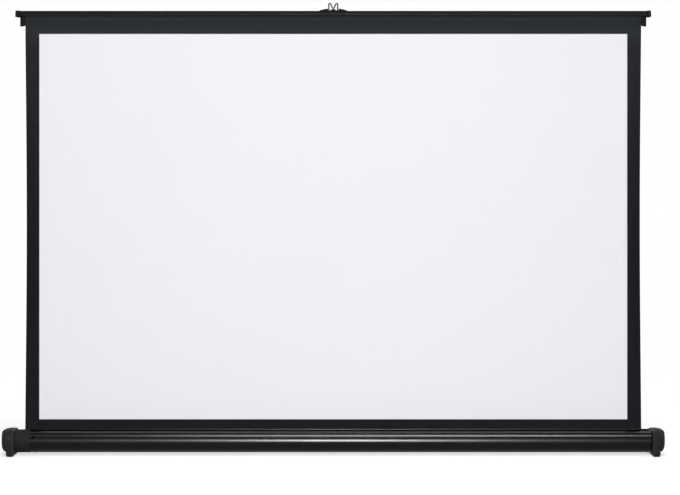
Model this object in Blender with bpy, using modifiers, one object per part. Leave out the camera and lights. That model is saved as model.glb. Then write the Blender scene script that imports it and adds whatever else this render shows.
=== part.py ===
"""Tabletop projection screen.

A sheet is pulled up out of a slotted round case and hung by a wire bail on a telescopic mast behind it.
Metres, +Z up. The case runs along X and stands on its end caps at z = 0, and the front faces -Y.
"""

import math

import bmesh
import bpy
from mathutils import Matrix, Vector

MM = 0.001
LEFT = -1
RIGHT = 1

# Clearances and joining depth
GAP = 0.3 * MM
UNION_DEPTH = 1.0 * MM
CUT_PAST = 1.0 * MM
ROUND_STEPS = 20

# Case tube
TUBE_RADIUS = 16.6 * MM
TUBE_WALL = 1.7 * MM
TUBE_ABOVE_FLOOR = 3.4 * MM
SLOT_WIDTH = 6.2 * MM
GROOVE_WIDTH = 1.2 * MM
GROOVE_DEPTH = 0.8 * MM
UPPER_GROOVE_DEGREES = 45.0
LOWER_GROOVE_DEGREES = 23.0
RAIL_HEIGHT = 10.0 * MM
RAIL_BLEND_DEGREES = 2.2
CASE_HOLE_RADIUS = 2.4 * MM
CASE_HOLE_IN = 4.4 * MM

# End caps
CAP_HEIGHT = 37.8 * MM
CAP_DEPTH = 64.0 * MM
CAP_PLATE = 10.0 * MM
CAP_TOP_ROUND = 20.0 * MM
CAP_TOP_DROP = 13.0 * MM
CAP_FOOT_ROUND = 2.5 * MM
CAP_DOME = 9.5 * MM
DOME_FOOT = 6.8 * MM
DOME_FOOT_ROUND = 10.0 * MM
DOME_RINGS = 6
DOME_TURN_DEGREES = 80.0
DOME_UPRIGHT_ABOVE = 0.27
DOME_UPRIGHT_BELOW = 0.85
DOME_FULLNESS = 0.87
SLEEVE_LENGTH = 22.0 * MM
SPIGOT_LENGTH = 10.5 * MM
SPIGOT_WALL = 1.4 * MM
PAD_THICKNESS = 1.5 * MM
PAD_INSET = 1.0 * MM
CAP_SCREW_RADIUS = 1.2 * MM
CAP_SCREW_HEAD_RADIUS = 2.4 * MM
CAP_SCREW_HEAD = 1.3 * MM

# Sheet and roller
FABRIC_WIDTH = 890.0 * MM
FABRIC_THICKNESS = 0.35 * MM
ROLLER_RADIUS = 8.5 * MM
ROLLER_BELOW_AXIS = 2.4 * MM
ROLLER_WALL = 0.8 * MM
ROLLER_PLUG = 13.0 * MM
WRAP_THICKNESS = 0.7 * MM
ARBOR_RADIUS = 3.0 * MM
ARBOR_LENGTH = 158.0 * MM
NECK_RADIUS = 2.2 * MM
JOURNAL_LENGTH = 7.0 * MM
ANCHOR_LENGTH = 10.0 * MM
SPRING_WIRE_RADIUS = 0.7 * MM
SPRING_TURNS = 16
SPRING_TURN_POINTS = 9
BUSH_WALL = 1.5 * MM

# Top bar
BAR_TOP = 641.5 * MM
BAR_LIP_DROP = 7.2 * MM
BAR_FRONT = 10.0 * MM
BAR_REAR = 4.0 * MM
BAR_FRONT_ROUND = 7.0 * MM
BAR_BROW_DROP = 4.4 * MM
BAR_REAR_ROUND = 1.2 * MM
BAR_LIP = 1.0 * MM
BAR_SEAT_GAP = 2.2 * MM
STEM_WIDTH = 4.8 * MM
STEM_DROP = 5.0 * MM
SPLINE_RADIUS = 1.2 * MM
SPLINE_DROP = 2.2 * MM
SLIT_WIDTH = 1.0 * MM
BAR_CAP_PLATE = 4.9 * MM
BAR_CAP_RISE = 0.3 * MM
BAR_CAP_PROUD = 0.5 * MM
BAR_CAP_REACH = 3.3 * MM
BAR_CAP_DROP = 2.4 * MM
TONGUE_OFF_FABRIC = 0.5 * MM
TONGUE_WIDTH = 6.9 * MM
TONGUE_DROP = 15.4 * MM
TONGUE_FILLET = 1.2 * MM
TONGUE_THICKNESS = 4.4 * MM
CAP_OFF_BAR = 1.0 * MM

# Hanger
SADDLE_LENGTH = 39.0 * MM
SADDLE_RISE = 2.7 * MM
SADDLE_END_RISE = 0.7 * MM
SADDLE_SHOULDER = 20.0 * MM
SADDLE_FRONT = 3.0 * MM
SADDLE_WALL = 2.5 * MM
SADDLE_SKIRT = 6.5 * MM
NOTCH_WIDTH = 15.5 * MM
NOTCH_BELOW_BAR = 0.9 * MM
BAIL_WIRE_RADIUS = 1.0 * MM
BAIL_LEAN_DEGREES = 42.0
BAIL_PEAK = 14.4 * MM
BAIL_VALLEY = 4.6 * MM
BAIL_BEND = 1.4 * MM
BAIL_EAR_DEPTH = 2.6 * MM
BAIL_AXIS_IN = 1.7 * MM
SADDLE_SCREW_RADIUS = 1.1 * MM
SADDLE_SCREW_HEAD_RADIUS = 2.1 * MM
SADDLE_SCREW_HEAD = 1.2 * MM
SADDLE_SCREW_SPACING = 26.0 * MM
SADDLE_SCREW_BITE = 2.6 * MM

# Mast
BRACKET_THICKNESS = 2.4 * MM
BRACKET_WIDTH = 30.0 * MM
BRACKET_HEAD_RADIUS = 11.0 * MM
BRACKET_SCREW_SPACING = 22.0 * MM
BRACKET_SCREW_RADIUS = 1.5 * MM
BRACKET_SCREW_HEAD_RADIUS = 2.9 * MM
BRACKET_SCREW_HEAD = 1.5 * MM
PIVOT_HEIGHT = 54.0 * MM
PIVOT_RADIUS = 3.0 * MM
PIVOT_HEAD_RADIUS = 4.0 * MM
PIVOT_HEAD = 0.9 * MM
KNUCKLE_RADIUS = 9.0 * MM
KNUCKLE_SPIGOT = 9.0 * MM
MAST_LOWER_RADIUS = 5.4 * MM
MAST_NEST = 0.7 * MM
MAST_WALL = 0.7 * MM
MAST_OVERLAP = 22.0 * MM
FERRULE_WALL = 0.8 * MM
FERRULE_LENGTH = 12.0 * MM
FERRULE_LIP = 3.0 * MM
GLIDE_FLANGE = 3.0 * MM
GLIDE_SPIGOT = 8.0 * MM
HOOK_SOCKET = 14.0 * MM
HOOK_WALL = 1.6 * MM
HOOK_ROOF = 2.0 * MM
HOOK_FINGER_WIDTH = 5.2 * MM
HOOK_FINGER_HEIGHT = 6.0 * MM
HOOK_OFF_SADDLE = 0.4 * MM

# Along X, from the middle outwards
FABRIC_HALF = FABRIC_WIDTH / 2
ROLLER_HALF = FABRIC_HALF + GAP
TONGUE_INNER = FABRIC_HALF + TONGUE_OFF_FABRIC
TONGUE_OUTER = TONGUE_INNER + TONGUE_WIDTH
BAR_HALF = TONGUE_OUTER + GAP
BAR_CAP_INNER = BAR_HALF + GAP
BAR_CAP_OUTER = BAR_CAP_INNER + BAR_CAP_PLATE
CAP_INNER = BAR_CAP_OUTER + CAP_OFF_BAR
CAP_OUTER = CAP_INNER + CAP_PLATE
JOURNAL_END = CAP_INNER + GAP + JOURNAL_LENGTH
SLEEVES = {LEFT: SLEEVE_LENGTH, RIGHT: 0.0}
TUBE_ENDS = {side: CAP_INNER - SLEEVES[side] - GAP for side in SLEEVES}

# Heights
AXIS_Z = TUBE_ABOVE_FLOOR + TUBE_RADIUS
ROLLER_Z = AXIS_Z - ROLLER_BELOW_AXIS
TUBE_BORE = TUBE_RADIUS - TUBE_WALL
SLOT_Z = AXIS_Z + TUBE_RADIUS - TUBE_WALL / 2
LIP_Z = BAR_TOP - BAR_LIP_DROP
SEAT_RADIUS = TUBE_RADIUS + BAR_SEAT_GAP
SEAT_Z = LIP_Z - math.sqrt(SEAT_RADIUS**2 - BAR_FRONT**2)
CROWN_Z = SEAT_Z + SEAT_RADIUS
SPLINE_Z = CROWN_Z - SPLINE_DROP
FABRIC_TOP = SPLINE_Z - SPLINE_RADIUS - GAP
SADDLE_BASE = BAR_TOP + GAP
SADDLE_TOP = SADDLE_BASE + SADDLE_RISE
SADDLE_REAR = BAR_REAR + GAP + SADDLE_WALL
BAIL_Y = SADDLE_REAR - BAIL_AXIS_IN
BAIL_Z = SADDLE_TOP - BAIL_AXIS_IN
BAIL_LEAN = math.radians(BAIL_LEAN_DEGREES)
FINGER_TOP = BAIL_Z + BAIL_VALLEY * math.cos(BAIL_LEAN) - BAIL_WIRE_RADIUS - GAP

# Mast, from the case backwards and from the pivot upwards
BRACKET_FRONT = TUBE_RADIUS + GAP
BRACKET_REAR = BRACKET_FRONT + BRACKET_THICKNESS
MAST_Y = BRACKET_REAR + GAP + MAST_LOWER_RADIUS
KNUCKLE_REAR = MAST_Y + MAST_LOWER_RADIUS - GAP
LOWER_BORE = MAST_LOWER_RADIUS - MAST_WALL
MIDDLE_RADIUS = LOWER_BORE - MAST_NEST
MIDDLE_BORE = MIDDLE_RADIUS - MAST_WALL
TOP_RADIUS = MIDDLE_BORE - MAST_NEST
TOP_BORE = TOP_RADIUS - MAST_WALL
LOWER_START = PIVOT_HEIGHT + KNUCKLE_RADIUS + GAP
MAST_END = FINGER_TOP - HOOK_ROOF - GAP
MAST_STAGE = (MAST_END - LOWER_START) / 3
LOWER_END = LOWER_START + MAST_STAGE
MIDDLE_START = LOWER_END - MAST_OVERLAP
MIDDLE_END = LOWER_END + MAST_STAGE
TOP_START = MIDDLE_END - MAST_OVERLAP

# Finishes: colour, roughness, metallic
FINISHES = {
    "black_anodised": ((0.012, 0.012, 0.013), 0.28, 0.0),
    "black_plastic": ((0.022, 0.022, 0.025), 0.55, 0.0),
    "projection_cloth": ((0.82, 0.83, 0.86), 0.85, 0.0),
    "grey_wire": ((0.45, 0.46, 0.48), 0.25, 1.0),
    "steel": ((0.40, 0.41, 0.43), 0.35, 1.0),
    "chromed_tube": ((0.62, 0.63, 0.65), 0.15, 1.0),
    "natural_nylon": ((0.70, 0.69, 0.64), 0.50, 0.0),
    "black_rubber": ((0.010, 0.010, 0.010), 0.90, 0.0),
}

PARTS = "tabletop_projection_screen"
CUTTERS = "cutters"


def clear_scene():
    """Removes what the file starts with and makes the two collections."""
    for obj in list(bpy.data.objects):
        bpy.data.objects.remove(obj, do_unlink=True)
    for name in (PARTS, CUTTERS):
        collection = bpy.data.collections.new(name)
        bpy.context.scene.collection.children.link(collection)


def finish(name):
    """The Principled material of this name."""
    material = bpy.data.materials.get(name)
    if material:
        return material
    colour, roughness, metallic = FINISHES[name]
    material = bpy.data.materials.new(name)
    material.use_nodes = True
    shader = material.node_tree.nodes["Principled BSDF"]
    shader.inputs["Base Color"].default_value = (*colour, 1.0)
    shader.inputs["Roughness"].default_value = roughness
    shader.inputs["Metallic"].default_value = metallic
    material.diffuse_color = (*colour, 1.0)
    return material


def place(name, data, surface=None):
    """Links a new object: a part if it has a surface, otherwise a cutter."""
    obj = bpy.data.objects.new(name, data)
    bpy.data.collections[PARTS if surface else CUTTERS].objects.link(obj)
    if surface:
        data.materials.append(finish(surface))
    else:
        obj.hide_render = True
        obj.display_type = "WIRE"
    return obj


def pivot(name, location, parent=None):
    """An empty on a joint's axis, which carries the pieces that move there."""
    empty = bpy.data.objects.new(name, None)
    empty.empty_display_size = 10 * MM
    bpy.data.collections[PARTS].objects.link(empty)
    empty.location = location
    bpy.context.view_layer.update()
    return carry(parent, empty) if parent else empty


def carry(parent, obj):
    """Parents an object where it stands."""
    bpy.context.view_layer.update()
    obj.parent = parent
    obj.matrix_parent_inverse = parent.matrix_world.inverted()
    return obj


def boolean(obj, other, operation):
    """Cuts or joins another mesh object into this one."""
    modifier = obj.modifiers.new(f"{operation.lower()}_{other.name}", "BOOLEAN")
    modifier.operation = operation
    modifier.solver = "EXACT"
    modifier.object = other
    return obj


def cut(obj, cutter):
    """Takes the cutter's shape out of an object."""
    return boolean(obj, cutter, "DIFFERENCE")


def join(obj, other):
    """Makes another shape part of an object's one body."""
    return boolean(obj, other, "UNION")


def shade(mesh):
    """Smooth shading with the sharp edges kept."""
    mesh.shade_smooth()
    mesh.set_sharp_from_angle(angle=math.radians(35))


# How a flat outline's own axes and its thickness lie in the world
OUTLINE_TURNS = {
    "X": Matrix(((0, 0, 1), (1, 0, 0), (0, 1, 0))),
    "Y": Matrix(((1, 0, 0), (0, 0, -1), (0, 1, 0))),
}


def prism(name, outline, axis, low, high, surface=None):
    """A flat outline given its thickness along X (outline in Y, Z) or along Y (outline in X, Z)."""
    curve = bpy.data.curves.new(name, "CURVE")
    curve.dimensions = "2D"
    curve.fill_mode = "BOTH"
    curve.extrude = (high - low) / 2
    spline = curve.splines.new("POLY")
    spline.points.add(len(outline) - 1)
    for point, (u, v) in zip(spline.points, outline):
        point.co = (u, v, 0, 1)
    spline.use_cyclic_u = True
    flat = bpy.data.objects.new(name + "_outline", curve)
    bpy.context.scene.collection.objects.link(flat)
    mesh = bpy.data.meshes.new_from_object(flat.evaluated_get(bpy.context.evaluated_depsgraph_get()))
    bpy.data.objects.remove(flat)
    middle = (low + high) / 2
    shift = Vector((middle, 0, 0)) if axis == "X" else Vector((0, middle, 0))
    bm = bmesh.new()
    bm.from_mesh(mesh)
    bmesh.ops.remove_doubles(bm, verts=bm.verts, dist=0.001 * MM)
    bmesh.ops.transform(bm, matrix=Matrix.Translation(shift) @ OUTLINE_TURNS[axis].to_4x4(), verts=bm.verts)
    bmesh.ops.recalc_face_normals(bm, faces=bm.faces)
    bm.to_mesh(mesh)
    bm.free()
    mesh.name = name
    shade(mesh)
    return place(name, mesh, surface)


def box(name, low, high, surface=None, bevel=0.0):
    """A box between two corners."""
    bm = bmesh.new()
    bmesh.ops.create_cube(bm, size=1.0)
    size = [b - a for a, b in zip(low, high)]
    middle = [(a + b) / 2 for a, b in zip(low, high)]
    bmesh.ops.scale(bm, vec=size, verts=bm.verts)
    bmesh.ops.translate(bm, vec=middle, verts=bm.verts)
    mesh = bpy.data.meshes.new(name)
    bm.to_mesh(mesh)
    bm.free()
    obj = place(name, mesh, surface)
    if bevel:
        rounding = obj.modifiers.new("rounding", "BEVEL")
        rounding.width = bevel
        rounding.segments = 2
    return obj


def aligned(axis):
    """The turn that takes +Z to the named axis."""
    return Vector((0, 0, 1)).rotation_difference(Vector(axis)).to_matrix().to_4x4()


def rod(name, radius, start, end, surface=None, sides=ROUND_STEPS):
    """A round bar between two points."""
    start, end = Vector(start), Vector(end)
    bm = bmesh.new()
    bmesh.ops.create_cone(
        bm,
        cap_ends=True,
        segments=sides,
        radius1=radius,
        radius2=radius,
        depth=(end - start).length,
        matrix=Matrix.Translation((start + end) / 2) @ aligned(end - start),
    )
    mesh = bpy.data.meshes.new(name)
    bm.to_mesh(mesh)
    bm.free()
    shade(mesh)
    return place(name, mesh, surface)


def turned(name, profile, centre, axis, surface, hollow=False):
    """A profile of (radius, height), its outer side running top to bottom, turned about an axis.

    A hollow profile closes on itself away from the axis. A solid one starts and ends on it.
    """
    count = len(profile)
    edges = [(i, i + 1) for i in range(count - 1)]
    if hollow:
        edges.append((count - 1, 0))
    mesh = bpy.data.meshes.new(name)
    mesh.from_pydata([(radius, 0, height) for radius, height in profile], edges, [])
    obj = place(name, mesh, surface)
    obj.matrix_world = Matrix.Translation(centre) @ aligned(axis)
    screw = obj.modifiers.new("turn", "SCREW")
    screw.axis = "Z"
    screw.angle = 2 * math.pi
    screw.steps = ROUND_STEPS
    screw.render_steps = ROUND_STEPS
    screw.use_merge_vertices = True
    screw.merge_threshold = 0.001 * MM
    screw.use_smooth_shade = True
    return obj


def ring(outer, inner, low, high):
    """The hollow profile of a plain tube."""
    return [(outer, high), (outer, low), (inner, low), (inner, high)]


def headed(head_radius, head, radius, length):
    """The profile of a pin along +Z whose head lies below z = 0."""
    return [(0, length), (radius, length), (radius, 0), (head_radius, 0), (head_radius, -head), (0, -head)]


def wire(name, points, radius, surface, resolution):
    """A round wire along points."""
    curve = bpy.data.curves.new(name, "CURVE")
    curve.dimensions = "3D"
    curve.bevel_depth = radius
    curve.bevel_resolution = resolution
    curve.use_fill_caps = True
    spline = curve.splines.new("POLY")
    spline.points.add(len(points) - 1)
    for point, (x, y, z) in zip(spline.points, points):
        point.co = (x, y, z, 1)
    return place(name, curve, surface)


def polar(radius, degrees):
    """A point of a case section, in degrees from the rear over the crown."""
    angle = math.radians(degrees)
    return (radius * math.cos(angle), AXIS_Z + radius * math.sin(angle))


def arc(radius, start, end, step=8.0):
    """Points of a case section along a circle."""
    count = max(1, round(abs(end - start) / step))
    return [polar(radius, start + (end - start) * i / count) for i in range(count + 1)]


def corner(centre, radius, start, end, steps=5):
    """Points of a rounded corner of any outline."""
    angles = [math.radians(start + (end - start) * i / steps) for i in range(steps + 1)]
    return [(centre[0] + radius * math.cos(a), centre[1] + radius * math.sin(a)) for a in angles]


def lip_degrees(radius, opening):
    """How far from the crown a circle reaches the side of an opening of this width."""
    return math.degrees(math.asin(opening / 2 / radius))


def slotted_section(outer, inner, opening):
    """A round wall that is open along its crown."""
    out, back = lip_degrees(outer, opening), lip_degrees(inner, opening)
    return arc(outer, 90 + out, 450 - out) + arc(inner, 450 - back, 90 + back)


def case_section():
    """The case's wall, with two fine grooves down its front and a rail on its rear."""
    lip = lip_degrees(TUBE_RADIUS, SLOT_WIDTH)
    back = lip_degrees(TUBE_BORE, SLOT_WIDTH)
    half = math.degrees(GROOVE_WIDTH / 2 / TUBE_RADIUS)
    points = []
    start = 90 + lip
    for groove in (180 - UPPER_GROOVE_DEGREES, 180 - LOWER_GROOVE_DEGREES):
        points += arc(TUBE_RADIUS, start, groove - half)
        points += [polar(TUBE_RADIUS - GROOVE_DEPTH, groove + turn) for turn in (-half, half)]
        start = groove + half
    rail = math.degrees(math.atan2(RAIL_HEIGHT / 2, TUBE_RADIUS)) + RAIL_BLEND_DEGREES
    points += arc(TUBE_RADIUS, start, 360 - rail)
    points += [(TUBE_RADIUS, AXIS_Z - RAIL_HEIGHT / 2), (TUBE_RADIUS, AXIS_Z + RAIL_HEIGHT / 2)]
    points += arc(TUBE_RADIUS, 360 + rail, 450 - lip)
    return points + arc(TUBE_BORE, 450 - back, 90 + back)


def span(side, inner, outer):
    """The low and high X of a stretch that is given from the middle outwards."""
    return (inner, outer) if side == RIGHT else (-outer, -inner)


def cap_screw_x(side):
    """Where the tube's screws enter a cap's spigot."""
    return side * (TUBE_ENDS[side] - SPIGOT_LENGTH / 2)


def screw_hole(name, radius, start, end):
    """A cutter for a screw's clearance hole."""
    return rod(name, radius + GAP, start, end, sides=12)


def build_case(case):
    """The tube, its end caps, their screws and their pads."""
    tube = prism("case_tube", case_section(), "X", -TUBE_ENDS[LEFT], TUBE_ENDS[RIGHT], "black_anodised")
    carry(case, tube)
    for offset in (-BRACKET_SCREW_SPACING / 2, BRACKET_SCREW_SPACING / 2):
        start = (offset, TUBE_BORE - 2 * CUT_PAST, AXIS_Z)
        end = (offset, TUBE_RADIUS + CUT_PAST, AXIS_Z)
        cut(tube, screw_hole(f"bracket_hole_{offset:+.3f}", BRACKET_SCREW_RADIUS, start, end))
    reaches = (TUBE_BORE - GAP - SPIGOT_WALL - CUT_PAST, TUBE_RADIUS + CUT_PAST)
    ends = [(CASE_HOLE_IN - TUBE_ENDS[LEFT], *polar(r, 180 - LOWER_GROOVE_DEGREES)) for r in reaches]
    case_hole = rod("case_hole", CASE_HOLE_RADIUS, *ends, sides=12)
    cut(tube, case_hole)
    for side, name in ((LEFT, "left"), (RIGHT, "right")):
        cap = build_end_cap(side, name)
        carry(case, cap)
        if side == LEFT:
            cut(cap, case_hole)
        build_cap_screws(case, tube, cap, side, name)
        low, high = span(side, CAP_INNER + PAD_INSET, CAP_OUTER - PAD_INSET)
        reach = CAP_DEPTH / 2 - CAP_FOOT_ROUND - PAD_INSET
        pad = box(f"{name}_foot_pad", (low, -reach, 0), (high, reach, PAD_THICKNESS), "black_rubber")
        carry(case, pad)


def cap_outline(inset, foot, below):
    """A cap from the side, so far inside its edge and above the floor, with its lower corners rounded."""
    half = CAP_DEPTH / 2 - inset
    wide, high = CAP_TOP_ROUND - inset, CAP_TOP_DROP - inset
    shoulder = CAP_HEIGHT - CAP_TOP_DROP
    quarter = [math.radians(90 * i / 7) for i in range(8)]
    rear = [(half - wide + wide * math.cos(a), shoulder + high * math.sin(a)) for a in quarter]
    front = [(-y, z) for y, z in reversed(rear)]
    return (
        rear
        + front
        + corner((below - half, foot + below), below, 180, 270, 3)
        + corner((half - below, foot + below), below, 270, 360, 3)
    )


def cap_dome(side, name):
    """The domed outer face of a cap: its outline drawn in as it goes out, least from above and below."""
    outline = cap_outline(PAD_INSET / 2, DOME_FOOT, DOME_FOOT_ROUND)
    middle = (CAP_HEIGHT + DOME_FOOT) / 2
    full_turn = math.radians(DOME_TURN_DEGREES)
    bm = bmesh.new()
    face = bm.faces.new([bm.verts.new((side * (CAP_OUTER - UNION_DEPTH), y, z)) for y, z in outline])
    bottom = face.copy()
    bottom.normal_flip()
    for ring_number in range(DOME_RINGS + 1):
        turn = full_turn * ring_number / DOME_RINGS
        x = side * (CAP_OUTER + CAP_DOME * (math.sin(turn) / math.sin(full_turn)) ** DOME_FULLNESS)
        narrow = math.cos(turn)
        above, below = narrow**DOME_UPRIGHT_ABOVE, narrow**DOME_UPRIGHT_BELOW
        heights = [middle + (z - middle) * (above if z > middle else below) for _, z in outline]
        ring_points = [Vector((x, y * narrow, z)) for (y, _), z in zip(outline, heights)]
        grown = bmesh.ops.extrude_discrete_faces(bm, faces=[face])
        face = grown["faces"][0]
        for vert, point in zip(face.verts, ring_points):
            vert.co = point
    bmesh.ops.remove_doubles(bm, verts=bm.verts, dist=0.001 * MM)
    bmesh.ops.recalc_face_normals(bm, faces=bm.faces)
    mesh = bpy.data.meshes.new(name)
    bm.to_mesh(mesh)
    bm.free()
    return place(name, mesh)


def build_end_cap(side, name):
    """One end cap: a plate that stands on the floor, a dome outside it, and a spigot in the tube."""
    foot = PAD_THICKNESS + GAP
    low, high = span(side, CAP_INNER, CAP_OUTER)
    cap = prism(f"{name}_end_cap", cap_outline(0, foot, CAP_FOOT_ROUND), "X", low, high, "black_plastic")
    join(cap, cap_dome(side, f"{name}_dome"))
    spigot_radius = TUBE_BORE - GAP
    low, high = span(side, TUBE_ENDS[side] - SPIGOT_LENGTH, CAP_INNER + UNION_DEPTH)
    section = slotted_section(spigot_radius, spigot_radius - SPIGOT_WALL, SLOT_WIDTH + 2 * GAP)
    join(cap, prism(f"{name}_spigot", section, "X", low, high))
    if SLEEVES[side]:
        low, high = span(side, CAP_INNER - SLEEVES[side], CAP_INNER + UNION_DEPTH)
        section = slotted_section(TUBE_RADIUS, spigot_radius - SPIGOT_WALL / 2, SLOT_WIDTH)
        join(cap, prism(f"{name}_sleeve", section, "X", low, high))
    return cap


def build_cap_screws(case, tube, cap, side, name):
    """Two screws that hold the tube on a cap's spigot, from below and from behind."""
    x = cap_screw_x(side)
    inside = TUBE_BORE - GAP - SPIGOT_WALL
    length = TUBE_RADIUS + GAP - inside
    profile = headed(CAP_SCREW_HEAD_RADIUS, CAP_SCREW_HEAD, CAP_SCREW_RADIUS, length)
    for place_name, outward in (("bottom", Vector((0, 0, -1))), ("rear", Vector((0, 1, 0)))):
        axis_point = Vector((x, 0, AXIS_Z))
        seat = axis_point + outward * (TUBE_RADIUS + GAP)
        screw = turned(f"{name}_cap_screw_{place_name}", profile, seat, -outward, "steel")
        carry(case, screw)
        start = axis_point + outward * (inside - CUT_PAST)
        end = seat + outward * CUT_PAST
        hole = screw_hole(f"{name}_{place_name}_hole", CAP_SCREW_RADIUS, start, end)
        cut(tube, hole)
        cut(cap, hole)


def build_roller(case, roller):
    """The roller, its two plugs, and the fixed arbor, anchor and spring inside it."""
    centre = Vector((0, 0, ROLLER_Z))
    along = Vector((1, 0, 0))
    bore = ROLLER_RADIUS - ROLLER_WALL
    plug_radius = bore - GAP
    plug_inner = ROLLER_HALF - ROLLER_PLUG
    tube = ring(ROLLER_RADIUS, bore, -ROLLER_HALF, ROLLER_HALF)
    carry(roller, turned("roller_tube", tube, centre, along, "steel", hollow=True))
    wrap_inner = ROLLER_RADIUS + GAP
    wrap = ring(wrap_inner + WRAP_THICKNESS, wrap_inner, -FABRIC_HALF, FABRIC_HALF)
    carry(roller, turned("fabric_wrap", wrap, centre, along, "projection_cloth", hollow=True))
    plug = ring(plug_radius, ARBOR_RADIUS + GAP, -ROLLER_HALF, -plug_inner)
    carry(roller, turned("roller_spring_plug", plug, centre, along, "natural_nylon", hollow=True))
    pin = [
        (0, JOURNAL_END),
        (NECK_RADIUS, JOURNAL_END),
        (NECK_RADIUS, ROLLER_HALF),
        (plug_radius, ROLLER_HALF),
        (plug_radius, plug_inner),
        (0, plug_inner),
    ]
    carry(roller, turned("roller_pin_plug", pin, centre, along, "natural_nylon"))
    build_bearings(case, centre, along)
    build_spring(case, centre, along, bore, plug_inner)


def build_bearings(case, centre, along):
    """The right cap's bush and the left cap's square socket."""
    bush_radius = NECK_RADIUS + GAP + BUSH_WALL
    bush = ring(bush_radius, NECK_RADIUS + GAP, CAP_INNER + GAP, JOURNAL_END)
    carry(case, turned("roller_bush", bush, centre, along, "natural_nylon", hollow=True))
    start = centre + along * (CAP_INNER - CUT_PAST)
    end = centre + along * (JOURNAL_END + GAP)
    cut(bpy.data.objects["right_end_cap"], rod("bush_seat", bush_radius + GAP, start, end))
    half = NECK_RADIUS / math.sqrt(2) + GAP
    low = (-JOURNAL_END - GAP, -half, ROLLER_Z - half)
    high = (-CAP_INNER + CUT_PAST, half, ROLLER_Z + half)
    cut(bpy.data.objects["left_end_cap"], box("arbor_socket", low, high))


def build_spring(case, centre, along, bore, plug_inner):
    """The arbor, square where the left cap holds it, the anchor on its free end, and the spring between."""
    arbor_end = ROLLER_HALF - ARBOR_LENGTH
    neck_start = CAP_INNER - GAP
    profile = [
        (0, -arbor_end),
        (ARBOR_RADIUS, -arbor_end),
        (ARBOR_RADIUS, -ROLLER_HALF),
        (NECK_RADIUS, -ROLLER_HALF),
        (NECK_RADIUS, -neck_start),
        (0, -neck_start),
    ]
    arbor = turned("spring_arbor", profile, centre, along, "steel")
    half = NECK_RADIUS / math.sqrt(2)
    low = (-JOURNAL_END, -half, ROLLER_Z - half)
    high = (-neck_start + UNION_DEPTH, half, ROLLER_Z + half)
    join(arbor, box("arbor_square", low, high))
    carry(case, arbor)
    anchor_start = arbor_end + ANCHOR_LENGTH
    anchor = ring(bore - 2 * GAP, ARBOR_RADIUS + GAP, -anchor_start, -arbor_end)
    carry(case, turned("spring_anchor", anchor, centre, along, "natural_nylon", hollow=True))
    start = -plug_inner + GAP
    end = -anchor_start - GAP
    points = spring_points(start, end, (ARBOR_RADIUS + bore) / 2)
    carry(case, wire("roller_spring", points, SPRING_WIRE_RADIUS, "steel", 1))


def spring_points(start, end, radius):
    """A coil round the roller's axis whose ends run straight for a wire's width and more."""
    tail = 3 * SPRING_WIRE_RADIUS
    count = SPRING_TURNS * SPRING_TURN_POINTS
    points = [(start, radius, ROLLER_Z)]
    for i in range(count + 1):
        turn = 2 * math.pi * i / SPRING_TURN_POINTS
        x = start + tail + (end - start - 2 * tail) * i / count
        points.append((x, radius * math.cos(turn), ROLLER_Z + radius * math.sin(turn)))
    points.append((end, radius, ROLLER_Z))
    pitch = (end - start - 2 * tail) / SPRING_TURNS
    print(f"roller_spring: least gap between turns {(pitch - 2 * SPRING_WIRE_RADIUS) / MM:.2f} mm")
    return points


def strip(points, thickness):
    """The outline of a thin strip along a path of (y, z) points."""
    sides = {1: [], -1: []}
    for i, here in enumerate(points):
        before = (Vector(here) - Vector(points[max(i - 1, 0)])).normalized()
        after = (Vector(points[min(i + 1, len(points) - 1)]) - Vector(here)).normalized()
        along = (before + after).normalized()
        across = Vector((-along.y, along.x))
        mitre = thickness / 2 / max(along.dot(after), along.dot(before))
        for side, found in sides.items():
            found.append(tuple(Vector(here) + across * mitre * side))
    return sides[1] + sides[-1][::-1]


def build_fabric(case):
    """The sheet: from the bar down into the slot, then on to the front of the turns on the roller."""
    wrap = ROLLER_RADIUS + GAP + WRAP_THICKNESS + GAP + FABRIC_THICKNESS / 2
    above_axis = SLOT_Z - ROLLER_Z
    slant = math.asin(wrap / above_axis)
    reach = math.sqrt(above_axis**2 - wrap**2)
    end = (-reach * math.sin(slant), SLOT_Z - reach * math.cos(slant))
    outline = strip([(0, FABRIC_TOP), (0, SLOT_Z), end], FABRIC_THICKNESS)
    carry(case, prism("screen_fabric", outline, "X", -FABRIC_HALF, FABRIC_HALF, "projection_cloth"))


def seat(y):
    """The height of the bar's hollow underside, which fits over the case's crown."""
    return SEAT_Z + math.sqrt(SEAT_RADIUS**2 - y**2)


def bar_outline(rise=0.0, proud=0.0, reach=0.0, drop=0.0):
    """The bar from its end, or an end plate that is larger above, behind, in front and below."""
    top, front, rear = BAR_TOP + rise, -BAR_FRONT - reach, BAR_REAR + proud
    brow_y, brow_z = front + BAR_FRONT_ROUND, top - BAR_BROW_DROP
    rear_centre = (rear - BAR_REAR_ROUND, top - BAR_REAR_ROUND)
    points = corner(rear_centre, BAR_REAR_ROUND, 0, 90, 3)
    for i in range(7):
        turn = math.radians(90 + 15 * i)
        points.append((brow_y + BAR_FRONT_ROUND * math.cos(turn), brow_z + BAR_BROW_DROP * math.sin(turn)))
    lip_end = front + BAR_LIP
    points += [(front, LIP_Z - drop), (lip_end, LIP_Z - drop)]
    steps = 6
    points += [(y, seat(y)) for y in [lip_end + (rear - lip_end) * i / steps for i in range(steps + 1)]]
    return points


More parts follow.
